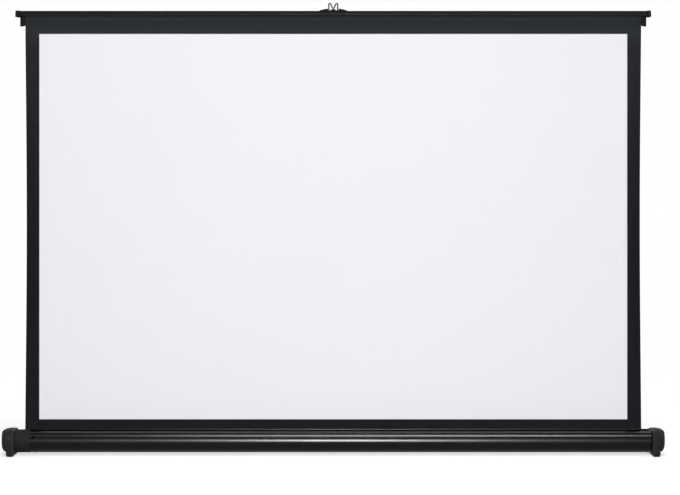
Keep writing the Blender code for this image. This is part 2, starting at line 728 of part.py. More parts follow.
def build_top_bar(bar):
    """The bar, the rod that locks the sheet into it, and its two end caps."""
    top_bar = prism("top_bar", bar_outline(), "X", -BAR_HALF, BAR_HALF, "black_anodised")
    channel = SPLINE_RADIUS + GAP
    half_stem, half_slit = STEM_WIDTH / 2, SLIT_WIDTH / 2
    mouth = math.degrees(math.asin(half_slit / channel))
    foot, root = CROWN_Z - STEM_DROP, seat(half_stem) + UNION_DEPTH
    stem = [(-half_stem, root), (-half_stem, foot), (-half_slit, foot)]
    stem += corner((0, SPLINE_Z), channel, 270 - mouth, mouth - 90, 12)
    stem += [(half_slit, foot), (half_stem, foot), (half_stem, root)]
    join(top_bar, prism("bar_stem", stem, "X", -FABRIC_HALF, FABRIC_HALF))
    carry(bar, top_bar)
    spline_ends = [(x, 0, SPLINE_Z) for x in (-FABRIC_HALF, FABRIC_HALF)]
    carry(bar, rod("fabric_spline", SPLINE_RADIUS, *spline_ends, "natural_nylon", sides=12))
    for side, name in ((LEFT, "left"), (RIGHT, "right")):
        low, high = span(side, BAR_CAP_INNER, BAR_CAP_OUTER)
        plate = bar_outline(BAR_CAP_RISE, BAR_CAP_PROUD, BAR_CAP_REACH, BAR_CAP_DROP)
        cap = prism(f"top_bar_{name}_cap", plate, "X", low, high, "black_plastic")
        half = TONGUE_THICKNESS / 2
        join(cap, prism(f"{name}_tongue", tongue_outline(side), "Y", -half, half))
        carry(bar, cap)


def tongue_outline(side):
    """An end cap's tongue from the front: a web off the plate, and a foot that slopes up inwards."""
    root, foot = seat(TONGUE_THICKNESS / 2) - GAP, LIP_Z - TONGUE_DROP
    sill = LIP_Z - BAR_CAP_DROP + GAP
    slope = 0.1 * TONGUE_WIDTH
    points = [(BAR_CAP_OUTER - GAP, root + UNION_DEPTH), (BAR_CAP_OUTER - GAP, sill)]
    fillet_centre = (TONGUE_OUTER + TONGUE_FILLET, sill - TONGUE_FILLET)
    points += corner(fillet_centre, TONGUE_FILLET, 90, 180)
    points += [(TONGUE_OUTER, foot), (TONGUE_INNER + slope, foot + slope)]
    points += [(TONGUE_INNER, foot + 3 * slope), (TONGUE_INNER, root)]
    points += [(BAR_CAP_INNER + GAP, root), (BAR_CAP_INNER + GAP, root + UNION_DEPTH)]
    return [(side * x, z) for x, z in points]


def build_hanger(bar, bail):
    """The saddle on the bar, its screws and the wire bail that stands in its notch."""
    half, shoulder, notch = SADDLE_LENGTH / 2, SADDLE_SHOULDER / 2, NOTCH_WIDTH / 2
    end_top = SADDLE_BASE + SADDLE_END_RISE
    front_view = [
        (-half, SADDLE_BASE),
        (half, SADDLE_BASE),
        (half, end_top),
        (shoulder, SADDLE_TOP),
        (-shoulder, SADDLE_TOP),
        (-half, end_top),
    ]
    saddle = prism("hanger_saddle", front_view, "Y", -SADDLE_FRONT, SADDLE_REAR, "black_plastic")
    skirt_low = (-half, SADDLE_REAR - SADDLE_WALL, BAR_TOP - SADDLE_SKIRT)
    join(saddle, box("saddle_skirt", skirt_low, (half, SADDLE_REAR, end_top - GAP / 2)))
    notch_low = (-notch, -SADDLE_FRONT - CUT_PAST, BAR_TOP - NOTCH_BELOW_BAR)
    cut(saddle, box("saddle_notch", notch_low, (notch, SADDLE_REAR + CUT_PAST, SADDLE_TOP + CUT_PAST)))
    for side, name in ((LEFT, "left"), (RIGHT, "right")):
        ear = [(side * x, BAIL_Y, BAIL_Z) for x in (notch - CUT_PAST, notch + BAIL_EAR_DEPTH + GAP)]
        cut(saddle, screw_hole(f"{name}_ear_hole", BAIL_WIRE_RADIUS, *ear))
        build_saddle_screw(bar, saddle, side, name)
    carry(bar, saddle)
    carry(bail, wire("hanger_bail", bail_points(), BAIL_WIRE_RADIUS, "grey_wire", 2))


def build_saddle_screw(bar, saddle, side, name):
    """One of the two screws through the saddle's rear wall into the bar."""
    x, z = side * SADDLE_SCREW_SPACING / 2, (seat(BAR_REAR) + BAR_TOP) / 2
    head_seat = Vector((x, SADDLE_REAR - SADDLE_SCREW_HEAD, z))
    length = SADDLE_WALL - SADDLE_SCREW_HEAD + GAP + SADDLE_SCREW_BITE
    profile = headed(SADDLE_SCREW_HEAD_RADIUS, SADDLE_SCREW_HEAD, SADDLE_SCREW_RADIUS, length)
    carry(bar, turned(f"saddle_screw_{name}", profile, head_seat, (0, -1, 0), "steel"))
    outside = head_seat + Vector((0, SADDLE_SCREW_HEAD + CUT_PAST, 0))
    recess = (x, head_seat.y - GAP, z)
    cut(saddle, screw_hole(f"saddle_screw_recess_{name}", SADDLE_SCREW_HEAD_RADIUS, recess, outside))
    end = (x, head_seat.y - length - GAP, z)
    hole = screw_hole(f"saddle_screw_hole_{name}", SADDLE_SCREW_RADIUS, outside, end)
    cut(saddle, hole)
    cut(bpy.data.objects["top_bar"], hole)


def bail_points():
    """The bail's M, leaning back from its ears: upright legs, round peaks and a round valley between them."""
    ear, foot, bend = NOTCH_WIDTH / 2 + BAIL_EAR_DEPTH, NOTCH_WIDTH / 2 - BAIL_WIRE_RADIUS - GAP, BAIL_BEND
    peak = Vector((foot - bend, BAIL_PEAK - bend))
    valley = Vector((0, BAIL_VALLEY + bend))
    apart = peak - valley
    slope = math.degrees(math.atan2(apart.y, apart.x) + math.asin(2 * bend / apart.length))
    half = [(ear, 0)]
    half += corner((foot + bend, bend), bend, 270, 180, 4)
    half += corner(peak, bend, 0, slope + 90, 8)
    half += corner(valley, bend, slope - 90, -90, 4)
    path = half + [(-x, u) for x, u in reversed(half[:-1])]
    return [(x, BAIL_Y + u * math.sin(BAIL_LEAN), BAIL_Z + u * math.cos(BAIL_LEAN)) for x, u in path]


def bracket_outline():
    """The mast's bracket from behind: wide on the case's rail, round about the pivot."""
    half, head = BRACKET_WIDTH / 2, BRACKET_HEAD_RADIUS
    foot, shoulder = AXIS_Z - RAIL_HEIGHT / 2, AXIS_Z + RAIL_HEIGHT
    base = [(-half, shoulder), (-half, foot), (half, foot), (half, shoulder)]
    return base + corner((0, PIVOT_HEIGHT), head, 0, 180, 10)


def build_bracket(case):
    """The bracket on the case's rear rail, its screws and the pin that the mast folds about."""
    bracket = prism("mast_bracket", bracket_outline(), "Y", BRACKET_FRONT, BRACKET_REAR, "black_anodised")
    carry(case, bracket)
    seat_y = BRACKET_REAR + GAP
    length = seat_y - TUBE_BORE
    profile = headed(BRACKET_SCREW_HEAD_RADIUS, BRACKET_SCREW_HEAD, BRACKET_SCREW_RADIUS, length)
    for side, name in ((LEFT, "left"), (RIGHT, "right")):
        x = side * BRACKET_SCREW_SPACING / 2
        carry(case, turned(f"bracket_screw_{name}", profile, (x, seat_y, AXIS_Z), (0, -1, 0), "steel"))
        ends = [(x, y, AXIS_Z) for y in (BRACKET_FRONT - CUT_PAST, BRACKET_REAR + CUT_PAST)]
        cut(bracket, screw_hole(f"bracket_plate_hole_{name}", BRACKET_SCREW_RADIUS, *ends))
    front, rear = BRACKET_FRONT - GAP, KNUCKLE_REAR + GAP
    pin = [
        (0, rear + PIVOT_HEAD),
        (PIVOT_HEAD_RADIUS, rear + PIVOT_HEAD),
        (PIVOT_HEAD_RADIUS, rear),
        (PIVOT_RADIUS, rear),
        (PIVOT_RADIUS, front),
        (PIVOT_HEAD_RADIUS, front),
        (PIVOT_HEAD_RADIUS, front - PIVOT_HEAD),
        (0, front - PIVOT_HEAD),
    ]
    carry(case, turned("mast_pivot_pin", pin, (0, 0, PIVOT_HEIGHT), (0, 1, 0), "steel"))
    ends = [(0, y, PIVOT_HEIGHT) for y in (front - CUT_PAST, rear + CUT_PAST)]
    hole = screw_hole("pivot_hole", PIVOT_RADIUS, *ends)
    cut(bracket, hole)
    return hole


def mast_tube(name, outer, inner, low, high):
    """One plain tube of the mast."""
    return turned(name, ring(outer, inner, low, high), (0, MAST_Y, 0), (0, 0, 1), "chromed_tube", hollow=True)


def mast_ferrule(name, outer, inner, end):
    """A cap round a tube's upper end whose lip guides the next tube."""
    bore, guide = outer + GAP, inner + GAP
    outside = bore + FERRULE_WALL
    lip = end + GAP
    profile = [
        (outside, lip + FERRULE_LIP),
        (outside, end - FERRULE_LENGTH),
        (bore, end - FERRULE_LENGTH),
        (bore, lip),
        (guide, lip),
        (guide, lip + FERRULE_LIP),
    ]
    return turned(name, profile, (0, MAST_Y, 0), (0, 0, 1), "black_plastic", hollow=True)


def mast_glide(name, tube_bore, guide_bore, start):
    """A plug in a tube's lower end whose flange slides in the tube outside it."""
    profile = [
        (0, start + GLIDE_SPIGOT),
        (tube_bore - GAP, start + GLIDE_SPIGOT),
        (tube_bore - GAP, start - GAP),
        (guide_bore - GAP, start - GAP),
        (guide_bore - GAP, start - GAP - GLIDE_FLANGE),
        (0, start - GAP - GLIDE_FLANGE),
    ]
    return turned(name, profile, (0, MAST_Y, 0), (0, 0, 1), "natural_nylon")


def build_mast(lower, middle, top, pivot_hole):
    """The knuckle, the three tubes with their ferrules and glides, and the hook."""
    knuckle_ends = [(0, y, PIVOT_HEIGHT) for y in (BRACKET_REAR + GAP, KNUCKLE_REAR)]
    knuckle = rod("mast_knuckle", KNUCKLE_RADIUS, *knuckle_ends, "black_plastic")
    spigot_ends = [(0, MAST_Y, z) for z in (PIVOT_HEIGHT, LOWER_START + KNUCKLE_SPIGOT)]
    join(knuckle, rod("knuckle_spigot", LOWER_BORE - GAP, *spigot_ends))
    cut(knuckle, pivot_hole)
    carry(lower, knuckle)
    carry(lower, mast_tube("mast_lower_tube", MAST_LOWER_RADIUS, LOWER_BORE, LOWER_START, LOWER_END))
    carry(lower, mast_ferrule("mast_lower_ferrule", MAST_LOWER_RADIUS, MIDDLE_RADIUS, LOWER_END))
    carry(middle, mast_tube("mast_middle_tube", MIDDLE_RADIUS, MIDDLE_BORE, MIDDLE_START, MIDDLE_END))
    carry(middle, mast_glide("mast_middle_glide", MIDDLE_BORE, LOWER_BORE, MIDDLE_START))
    carry(middle, mast_ferrule("mast_middle_ferrule", MIDDLE_RADIUS, TOP_RADIUS, MIDDLE_END))
    carry(top, mast_tube("mast_top_tube", TOP_RADIUS, TOP_BORE, TOP_START, MAST_END))
    carry(top, mast_glide("mast_top_glide", TOP_BORE, MIDDLE_BORE, TOP_START))
    carry(top, build_hook())


def build_hook():
    """The hook: a socket on the mast's end and a finger that reaches forward under the bail's valley."""
    bore = TOP_RADIUS + GAP
    outside = bore + HOOK_WALL
    roof = MAST_END + GAP
    mouth = roof - HOOK_SOCKET
    socket = [(0, FINGER_TOP), (outside, FINGER_TOP), (outside, mouth), (bore, mouth)]
    socket += [(bore, roof), (0, roof)]
    hook = turned("mast_hook", socket, (0, MAST_Y, 0), (0, 0, 1), "black_plastic")
    half = HOOK_FINGER_WIDTH / 2
    low = (-half, SADDLE_REAR + HOOK_OFF_SADDLE, FINGER_TOP - HOOK_FINGER_HEIGHT)
    high = (half, MAST_Y - bore - HOOK_WALL / 2, FINGER_TOP)
    return join(hook, box("hook_finger", low, high))


def main():
    """Builds the whole screen at rest: pulled up and hung on its mast."""
    clear_scene()
    case = pivot("case", (0, 0, 0))
    roller = pivot("roller_axis", (0, 0, ROLLER_Z), case)
    bar = pivot("bar_slide", (0, 0, CROWN_Z), case)
    bail = pivot("bail_axis", (0, BAIL_Y, BAIL_Z), bar)
    lower = pivot("mast_fold_axis", (0, MAST_Y, PIVOT_HEIGHT), case)
    middle = pivot("mast_middle_slide", (0, MAST_Y, MIDDLE_START), lower)
    top = pivot("mast_top_slide", (0, MAST_Y, TOP_START), middle)
    build_case(case)
    build_roller(case, roller)
    build_fabric(case)
    build_top_bar(bar)
    build_hanger(bar, bail)
    build_mast(lower, middle, top, build_bracket(case))


main()
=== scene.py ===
"""The tabletop projection screen as it looks: finer shapes and finishes round the frame, and a studio."""

import logging
import math
from collections.abc import Sequence
from dataclasses import dataclass
from enum import Enum
from typing import Any

import bmesh
import bpy
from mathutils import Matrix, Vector


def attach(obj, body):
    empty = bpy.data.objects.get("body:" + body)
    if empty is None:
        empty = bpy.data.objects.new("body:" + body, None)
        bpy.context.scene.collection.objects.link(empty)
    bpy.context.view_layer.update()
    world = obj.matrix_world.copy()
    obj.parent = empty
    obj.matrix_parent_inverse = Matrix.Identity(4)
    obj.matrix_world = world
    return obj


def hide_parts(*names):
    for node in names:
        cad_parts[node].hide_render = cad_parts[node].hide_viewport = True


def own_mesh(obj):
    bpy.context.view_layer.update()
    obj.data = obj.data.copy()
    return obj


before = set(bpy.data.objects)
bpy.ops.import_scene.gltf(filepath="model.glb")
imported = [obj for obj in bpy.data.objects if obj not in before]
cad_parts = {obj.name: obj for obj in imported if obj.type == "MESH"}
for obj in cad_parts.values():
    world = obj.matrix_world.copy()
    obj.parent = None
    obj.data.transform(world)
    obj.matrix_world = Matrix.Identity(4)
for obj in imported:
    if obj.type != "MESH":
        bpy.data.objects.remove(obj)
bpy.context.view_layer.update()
LOG = logging.getLogger("projection_screen")

MM = 0.001
GAP = 0.3 * MM
WELD = 0.0005 * MM
THREAD = 0.9 * MM
SHARP_DEGREES = 38.0
TURN = 2 * math.pi
CLOTH_MAP = "Cloth"

Point2 = tuple[float, float]
Point3 = tuple[float, float, float]
Colour = tuple[float, float, float]
Piece = bpy.types.Object
Material = bpy.types.Material


class Side(Enum):
    """The two ends of the screen."""

    LEFT = -1
    RIGHT = 1

    @property
    def word(self) -> str:
        """The side's name in piece names."""
        return self.name.lower()


class Body(Enum):
    """The rigid bodies that pieces ride on."""

    CASE = "case"
    ROLLER = "roller"
    BAR = "top_bar"
    BAIL = "bail"
    LOWER = "mast_lower"
    MIDDLE = "mast_middle"
    TOP = "mast_top"


class Slot(Enum):
    """The record's material slots."""

    EXTRUSION = "black_anodised"
    PLASTIC = "black_plastic"
    CLOTH = "projection_cloth"
    WIRE = "grey_wire"
    STEEL = "steel"
    CHROME = "chromed_tube"
    RUBBER = "black_rubber"


class Axis(Enum):
    """The direction that a flat outline is thickened along, or a profile is turned about."""

    X = (1.0, 0.0, 0.0)
    Y = (0.0, 1.0, 0.0)
    Z = (0.0, 0.0, 1.0)

    def lift(self, u: float, v: float, along: float) -> Point3:
        """An outline's point in space, at this place along the axis."""
        return {Axis.X: (along, u, v), Axis.Y: (u, along, v), Axis.Z: (u, v, along)}[self]


class Graph:
    """Adds nodes to a node tree."""

    def __init__(self, tree: bpy.types.NodeTree) -> None:
        """Takes the tree to add to."""
        self.tree = tree

    def feed(self, socket: bpy.types.NodeSocket, value: Any) -> None:
        """Links a value to a socket, or sets it there.

        Args:
            socket: The input.
            value: A node's output, or a plain number, colour or vector.
        """
        if isinstance(value, Value):
            self.tree.links.new(value.socket, socket)
        else:
            socket.default_value = value

    def node(
        self,
        kind: str,
        settings: dict[str, Any] | None = None,
        sockets: dict[str | int, Any] | None = None,
        out: str | int = 0,
    ) -> "Value":
        """Adds one node.

        Args:
            kind: The node's type.
            settings: Its properties, set first.
            sockets: Values or links for its inputs.
            out: The output that is wanted.

        Returns:
            That output.
        """
        made = self.tree.nodes.new(kind)
        for key, value in (settings or {}).items():
            setattr(made, key, value)
        for key, value in (sockets or {}).items():
            self.feed(made.inputs[key], value)
        return Value(self, made.outputs[out])

    def mix(self, share: Any, first: Any, second: Any) -> "Value":
        """A colour between two colours."""
        ends = [value if isinstance(value, Value) else (*value, 1.0) for value in (first, second)]
        return self.node("ShaderNodeMix", {"data_type": "RGBA"}, {0: share, 6: ends[0], 7: ends[1]}, out=2)

    def end(self, kind: str, shader: "Value") -> None:
        """Ends the tree in an output node of this type."""
        self.feed(self.tree.nodes.new(kind).inputs["Surface"], shader)


class Value:
    """A node's output, on which arithmetic adds Math nodes."""

    def __init__(self, graph: Graph, socket: bpy.types.NodeSocket) -> None:
        """Takes the graph and the output."""
        self.graph = graph
        self.socket = socket

    def _maths(self, operation: str, first: Any, second: Any = 0.0) -> "Value":
        """One Math node."""
        return self.graph.node("ShaderNodeMath", {"operation": operation}, {0: first, 1: second})

    def __add__(self, other: Any) -> "Value":
        """self + other."""
        return self._maths("ADD", self, other)

    def __radd__(self, other: Any) -> "Value":
        """other + self."""
        return self._maths("ADD", other, self)

    def __sub__(self, other: Any) -> "Value":
        """self - other."""
        return self._maths("SUBTRACT", self, other)

    def __rsub__(self, other: Any) -> "Value":
        """other - self."""
        return self._maths("SUBTRACT", other, self)

    def __mul__(self, other: Any) -> "Value":
        """self * other."""
        return self._maths("MULTIPLY", self, other)

    def __rmul__(self, other: Any) -> "Value":
        """other * self."""
        return self._maths("MULTIPLY", other, self)

    def sine(self) -> "Value":
        """The sine of this value."""
        return self._maths("SINE", self)

    def size(self) -> "Value":
        """This value without its sign."""
        return self._maths("ABSOLUTE", self)

    def most(self, other: Any) -> "Value":
        """The larger of this and another value."""
        return self._maths("MAXIMUM", self, other)

    def sway(self, amount: float) -> "Value":
        """A pattern of 0 to 1 moved about zero, this much from end to end."""
        return (self - 0.5) * amount

    def rise(self, low: float, high: float) -> "Value":
        """0 below low, 1 above high, and smooth between."""
        places = {"Value": self, "From Min": low, "From Max": high}
        return self.graph.node("ShaderNodeMapRange", {"interpolation_type": "SMOOTHSTEP"}, places)


class Paint(Graph):
    """The node tree of one surface."""

    def __init__(self, name: str) -> None:
        """Starts a material with an empty tree."""
        self.material = bpy.data.materials.new(name)
        self.material.use_nodes = True
        super().__init__(self.material.node_tree)
        self.tree.nodes.clear()

    def principled(self, **sockets: Any) -> Value:
        """Adds a Principled shader.

        Args:
            sockets: Its inputs, named in small letters with underscores.

        Returns:
            The shader.
        """
        names = {"specular": "Specular IOR Level"}
        wanted = {names.get(key, key.replace("_", " ").title()): value for key, value in sockets.items()}
        return self.node("ShaderNodeBsdfPrincipled", sockets=wanted)

    def surface(self, **sockets: Any) -> Material:
        """Ends the tree in a Principled shader and gives the material."""
        self.end("ShaderNodeOutputMaterial", self.principled(**sockets))
        return self.material

    def place(self, per_metre: Point3) -> Value:
        """Object coordinates in pattern units."""
        coordinates = self.node("ShaderNodeTexCoord", out="Object")
        return self.node("ShaderNodeMapping", sockets={"Vector": coordinates, "Scale": per_metre})

    def parts(self, vector: Value) -> list[Value]:
        """A vector's three parts."""
        return [self.node("ShaderNodeSeparateXYZ", sockets={0: vector}, out=i) for i in range(3)]

    def noise(self, per_metre: Point3, detail: float = 2.0) -> Value:
        """A cloudy pattern from 0 to 1 with this many features a metre along each axis."""
        look = {"Vector": self.place(per_metre), "Scale": 1.0, "Detail": detail, "Roughness": 0.55}
        return self.node("ShaderNodeTexNoise", sockets=look)

    def weave(self, warp: Value, weft: Value) -> Value:
        """The height of a plain weave, from 0 to 1, over two lengths."""
        waves = (warp * (TURN / THREAD)).sine() * (weft * (TURN / THREAD)).sine()
        return waves * 0.5 + 0.5

    def bump(self, height: Value, depth: float, strength: float) -> Value:
        """A normal from a height of 0 to 1 that stands for this depth in metres."""
        look = {"Strength": strength, "Distance": depth, "Height": height}
        return self.node("ShaderNodeBump", sockets=look)


@dataclass(frozen=True)
class Finish:
    """A finish's name, colour and roughness."""

    name: str
    colour: Colour
    roughness: float

    def tone(self, times: float, more: float = 0.0) -> Colour:
        """The colour made lighter or darker."""
        return tuple(times * part + more for part in self.colour)


@dataclass(frozen=True)
class Extrusion(Finish):
    """Black anodised aluminium, drawn along X, with faint die lines."""

    specular: float
    die_lines: Point3 = (3.0, 1100.0, 1100.0)
    die_depth: float = 0.004 * MM
    haze: Point3 = (9.0, 40.0, 40.0)

    def make(self) -> Material:
        """Builds the shader.

        Returns:
            The material.
        """
        paint = Paint(self.name)
        lines, haze = paint.noise(self.die_lines, 1.0), paint.noise(self.haze, 3.0)
        return paint.surface(
            base_color=paint.mix(haze, self.tone(0.8), self.tone(1.3)),
            roughness=self.roughness + lines.sway(0.06) + haze.sway(0.08),
            specular=self.specular,
            normal=paint.bump(lines, self.die_depth, 0.35),
        )


@dataclass(frozen=True)
class Moulding(Finish):
    """Moulded plastic or rubber with a fine grain and worn high spots."""

    specular: float = 0.5
    grain: float = 1500.0
    grain_depth: float = 0.02 * MM
    clouds: float = 45.0
    # random worn high spots of the moulding
    rubbed: Point2 = (0.56, 0.74)

    def make(self) -> Material:
        """Builds the shader.

        Returns:
            The material.
        """
        paint = Paint(self.name)
        grain = paint.noise((self.grain,) * 3)
        rubbed = paint.noise((self.clouds,) * 3, 3.0).rise(*self.rubbed)
        return paint.surface(
            base_color=paint.mix(rubbed * 0.7, self.colour, self.tone(1.35, 0.002)),
            roughness=self.roughness + grain.sway(0.12) - rubbed * 0.06,
            specular=self.specular,
            normal=paint.bump(grain, self.grain_depth, 0.6),
        )


@dataclass(frozen=True)
class Metal(Finish):
    """Bare or plated metal with fine marks along one direction."""

    marks: Point3 = (300.0, 300.0, 300.0)
    mark_depth: float = 0.004 * MM
    clouds: float = 60.0

    def make(self) -> Material:
        """Builds the shader.

        Returns:
            The material.
        """
        paint = Paint(self.name)
        marks, cloud = paint.noise(self.marks), paint.noise((self.clouds,) * 3)
        return paint.surface(
            base_color=paint.mix(cloud, self.tone(0.82), self.colour),
            metallic=1.0,
            roughness=self.roughness + marks.sway(0.10) + cloud.sway(0.05),
            normal=paint.bump(marks, self.mark_depth, 0.3),
        )


@dataclass(frozen=True)
class ScreenCloth(Finish):
    """The sheet's face: a white field in a printed black border, over a fine weave; the black has painted
    light, lighter towards the top.
    """

    sheet: "Sheet"
    black: Colour = (0.0070, 0.0072, 0.0088)
    # painted light: the border's black at its top, at the top border, and in the strip under the bar where
    # the bar's shade falls
    black_high: Colour = (0.0200, 0.0203, 0.0232)
    black_top: Colour = (0.0215, 0.0243, 0.0280)
    hem: Colour = (0.0380, 0.0410, 0.0450)
    edge: float = 0.35 * MM
    # painted light: where the top border's and the strip's lighter blacks begin
    top_fade: Point2 = (-20.0 * MM, 6.0 * MM)
    hem_width: float = 8.0 * MM
    clouds: float = 5.0
    weave_depth: float = 0.02 * MM

    def make(self) -> Material:
        """Builds the shader.

        Returns:
            The material.
        """
        paint, sheet = Paint(self.name), self.sheet
        across, up, _ = paint.parts(paint.node("ShaderNodeUVMap", {"uv_map": CLOTH_MAP}))
        low, high = sheet.end[1], sheet.top
        x, z = (across - 0.5) * sheet.width, up * (high - low) + low
        middle, half = (sheet.field_high + sheet.field_low) / 2, (sheet.field_high - sheet.field_low) / 2
        beyond = (z - middle).size() - half
        border = (x.size() - sheet.field_half).most(beyond).rise(-self.edge, self.edge)
        weave, cloud = paint.weave(x, z), paint.noise((self.clouds,) * 3)
        white = paint.mix(cloud, self.tone(0.985), self.colour)
        # painted light: the black is lighter upwards, with a share of random tone
        black = paint.mix(up * up * 0.8 + cloud * 0.2, self.black, self.black_high)
        # painted light: the top border is lighter still
        black = paint.mix(z.rise(*(sheet.field_high + past for past in self.top_fade)), black, self.black_top)
        # painted light: the strip just under the bar is lightest, over the bar's shade
        black = paint.mix(z.rise(high - self.hem_width, high), black, self.hem)
        return paint.surface(
            base_color=paint.mix(border, white, black),
            roughness=self.roughness - border * 0.16 + weave.sway(0.06),
            specular=0.035,
            normal=paint.bump(weave, self.weave_depth, 0.25),
        )


@dataclass(frozen=True)
class CoatedCloth(Finish):
    """The sheet's black back, and the turns of it on the roller."""

    clouds: float = 14.0
    weave_depth: float = 0.02 * MM

    def make(self) -> Material:
        """Builds the shader.

        Returns:
            The material.
        """
        paint = Paint(self.name)
        x, y, z = paint.parts(paint.place((1.0, 1.0, 1.0)))
        weave, cloud = paint.weave(x, y + z), paint.noise((self.clouds,) * 3, 3.0)
        return paint.surface(
            base_color=paint.mix(cloud, self.colour, self.tone(1.5)),
            roughness=self.roughness + cloud.sway(0.12) + weave.sway(0.08),
            specular=0.3,
            normal=paint.bump(weave, self.weave_depth, 0.3),
        )


class Finishes:
    """Every material of the screen but the sheet's face, made once."""

    def __init__(self) -> None:
        """Makes them."""
        self.tube = Extrusion("gloss_black_extrusion", (0.0018, 0.0018, 0.0020), 0.20, 0.12).make()
        # painted highlight: a lighter, far glossier black for a band along the case's front
        self.rubbed = Extrusion("rubbed_black_extrusion", (0.0040, 0.0040, 0.0042), 0.22, 0.70).make()
        self.bar = Extrusion("satin_black_extrusion", (0.0064, 0.0064, 0.0068), 0.62, 0.03).make()
        # painted light: lighter blacks for the bar's lower front face and its rib's front face, where the
        # bar's shade falls
        self.bar_face = Extrusion("satin_bar_face", (0.0130, 0.0134, 0.0142), 0.62, 0.03).make()
        self.bar_rib = Extrusion("satin_bar_rib", (0.0270, 0.0282, 0.0300), 0.62, 0.03).make()
        self.plastic = Moulding("black_moulding", (0.0082, 0.0084, 0.0094), 0.75, 0.06).make()
        self.cap = Moulding("grey_black_moulding", (0.0168, 0.0168, 0.0184), 0.75, 0.06).make()
        # painted highlight: a lighter, glossier black for the fillet round each end cap's inner edge
        self.rubbed_plastic = Moulding("rubbed_black_moulding", (0.026, 0.026, 0.028), 0.60, 0.12).make()
        self.rubber = Moulding("black_foot_rubber", (0.008, 0.008, 0.008), 0.85, 0.2, 900.0, 0.05 * MM).make()
        self.nylon = Moulding("natural_nylon_moulding", (0.66, 0.65, 0.59), 0.50).make()
        self.wire = Metal("plated_bail_wire", (0.060, 0.062, 0.065), 0.34, (900.0, 900.0, 900.0)).make()
        self.steel = Metal("zinc_plated_steel", (0.42, 0.43, 0.45), 0.36).make()
        self.chrome = Metal("chromed_mast_tube", (0.66, 0.67, 0.69), 0.10, (1500.0, 1500.0, 6.0)).make()
        self.backing = CoatedCloth("black_cloth_backing", (0.012, 0.012, 0.013), 0.62).make()


class ShapeGraph(Graph):
    """A geometry tree with named inputs, which ends in Realize Instances and Set Material."""

    def __init__(self, name: str) -> None:
        """Starts a tree that takes and gives geometry."""
        super().__init__(bpy.data.node_groups.new(name, "GeometryNodeTree"))
        for way in ("INPUT", "OUTPUT"):
            self.tree.interface.new_socket("Geometry", in_out=way, socket_type="NodeSocketGeometry")
        self.entry = self.tree.nodes.new("NodeGroupInput")
        self.exit = self.tree.nodes.new("NodeGroupOutput")

    def given(self) -> Value:
        """The geometry that comes in."""
        return Value(self, self.entry.outputs["Geometry"])

    def inputs(self, **kinds: str) -> list[Value]:
        """Adds named inputs, such as sizes.

        Args:
            kinds: Each input's name and kind.

        Returns:
            The inputs.
        """
        for name, kind in kinds.items():
            self.tree.interface.new_socket(name, in_out="INPUT", socket_type="NodeSocket" + kind)
        return [Value(self, self.entry.outputs[name]) for name in kinds]

    def close(self, geometry: Value, material: Material) -> "ShapeGraph":
        """Ends the tree in plain geometry with one material.

        Args:
            geometry: What the tree has made.
            material: Its material.

        Returns:
            The tree.
        """
        real = self.node("GeometryNodeRealizeInstances", sockets={"Geometry": geometry})
        painted = self.node("GeometryNodeSetMaterial", sockets={"Geometry": real, "Material": material})
        self.feed(self.exit.inputs["Geometry"], painted)
        return self

    def run(self, name: str, start: bpy.types.Mesh | None = None, **inputs: Any) -> Piece:
        """Runs the tree and keeps its result as a plain mesh.

        Args:
            name: The piece's name.
            start: The mesh that goes in.
            inputs: The named inputs' values.

        Returns:
            The finished object.
        """
        obj = new_object(name, start or bpy.data.meshes.new(name))
        modifier = obj.modifiers.new("shape", "NODES")
        modifier.node_group = self.tree
        for item in self.tree.interface.items_tree:
            if item.in_out == "INPUT" and item.name in inputs:
                modifier[item.identifier] = inputs[item.name]
        return shade(outward(settle(obj)))


def new_object(name: str, mesh: bpy.types.Mesh) -> Piece:
    """Links a mesh to the scene as an object at the origin.

    Args:
        name: The name of both.
        mesh: The mesh.

    Returns:
        The object.
    """
    mesh.name = name
    obj = bpy.data.objects.new(name, mesh)
    bpy.context.scene.collection.objects.link(obj)
    return obj


def settle(obj: Piece) -> Piece:
    """Makes an object's modifiers part of its mesh.

    Args:
        obj: The object.

    Returns:
        The object.
    """
    bpy.context.view_layer.update()
    graph = bpy.context.evaluated_depsgraph_get()
    found = obj.evaluated_get(graph)
    mesh = bpy.data.meshes.new_from_object(found, preserve_all_data_layers=True, depsgraph=graph)
    obj.modifiers.clear()
    obj.data = mesh
    mesh.name = obj.name
    return obj


def outward(obj: Piece) -> Piece:
    """Welds an object's mesh and turns its faces outwards.

    Args:
        obj: The object.

    Returns:
        The object.
    """
    work = bmesh.new()
    work.from_mesh(obj.data)
    bmesh.ops.remove_doubles(work, verts=work.verts, dist=WELD)
    bmesh.ops.recalc_face_normals(work, faces=work.faces)
    work.to_mesh(obj.data)
    work.free()
    return obj


def shade(obj: Piece, degrees: float = SHARP_DEGREES) -> Piece:
    """Shades an object smoothly, with its corners kept sharp.

    Args:
        obj: The object.
        degrees: The angle from which a corner is sharp.

    Returns:
        The object.
    """
    obj.data.shade_smooth()
    obj.data.set_sharp_from_angle(angle=math.radians(degrees))
    return obj


def soften(obj: Piece, width: float, degrees: float = SHARP_DEGREES) -> Piece:
    """Rounds an object's sharp edges.

    Args:
        obj: The object.
        width: The rounding's width.
        degrees: The angle from which an edge is sharp.

    Returns:
        The object.
    """
    bevel = obj.modifiers.new("soft_edges", "BEVEL")
    bevel.width = width
    bevel.segments = 3
    bevel.limit_method = "ANGLE"
    bevel.angle_limit = math.radians(degrees)
    return shade(settle(obj))


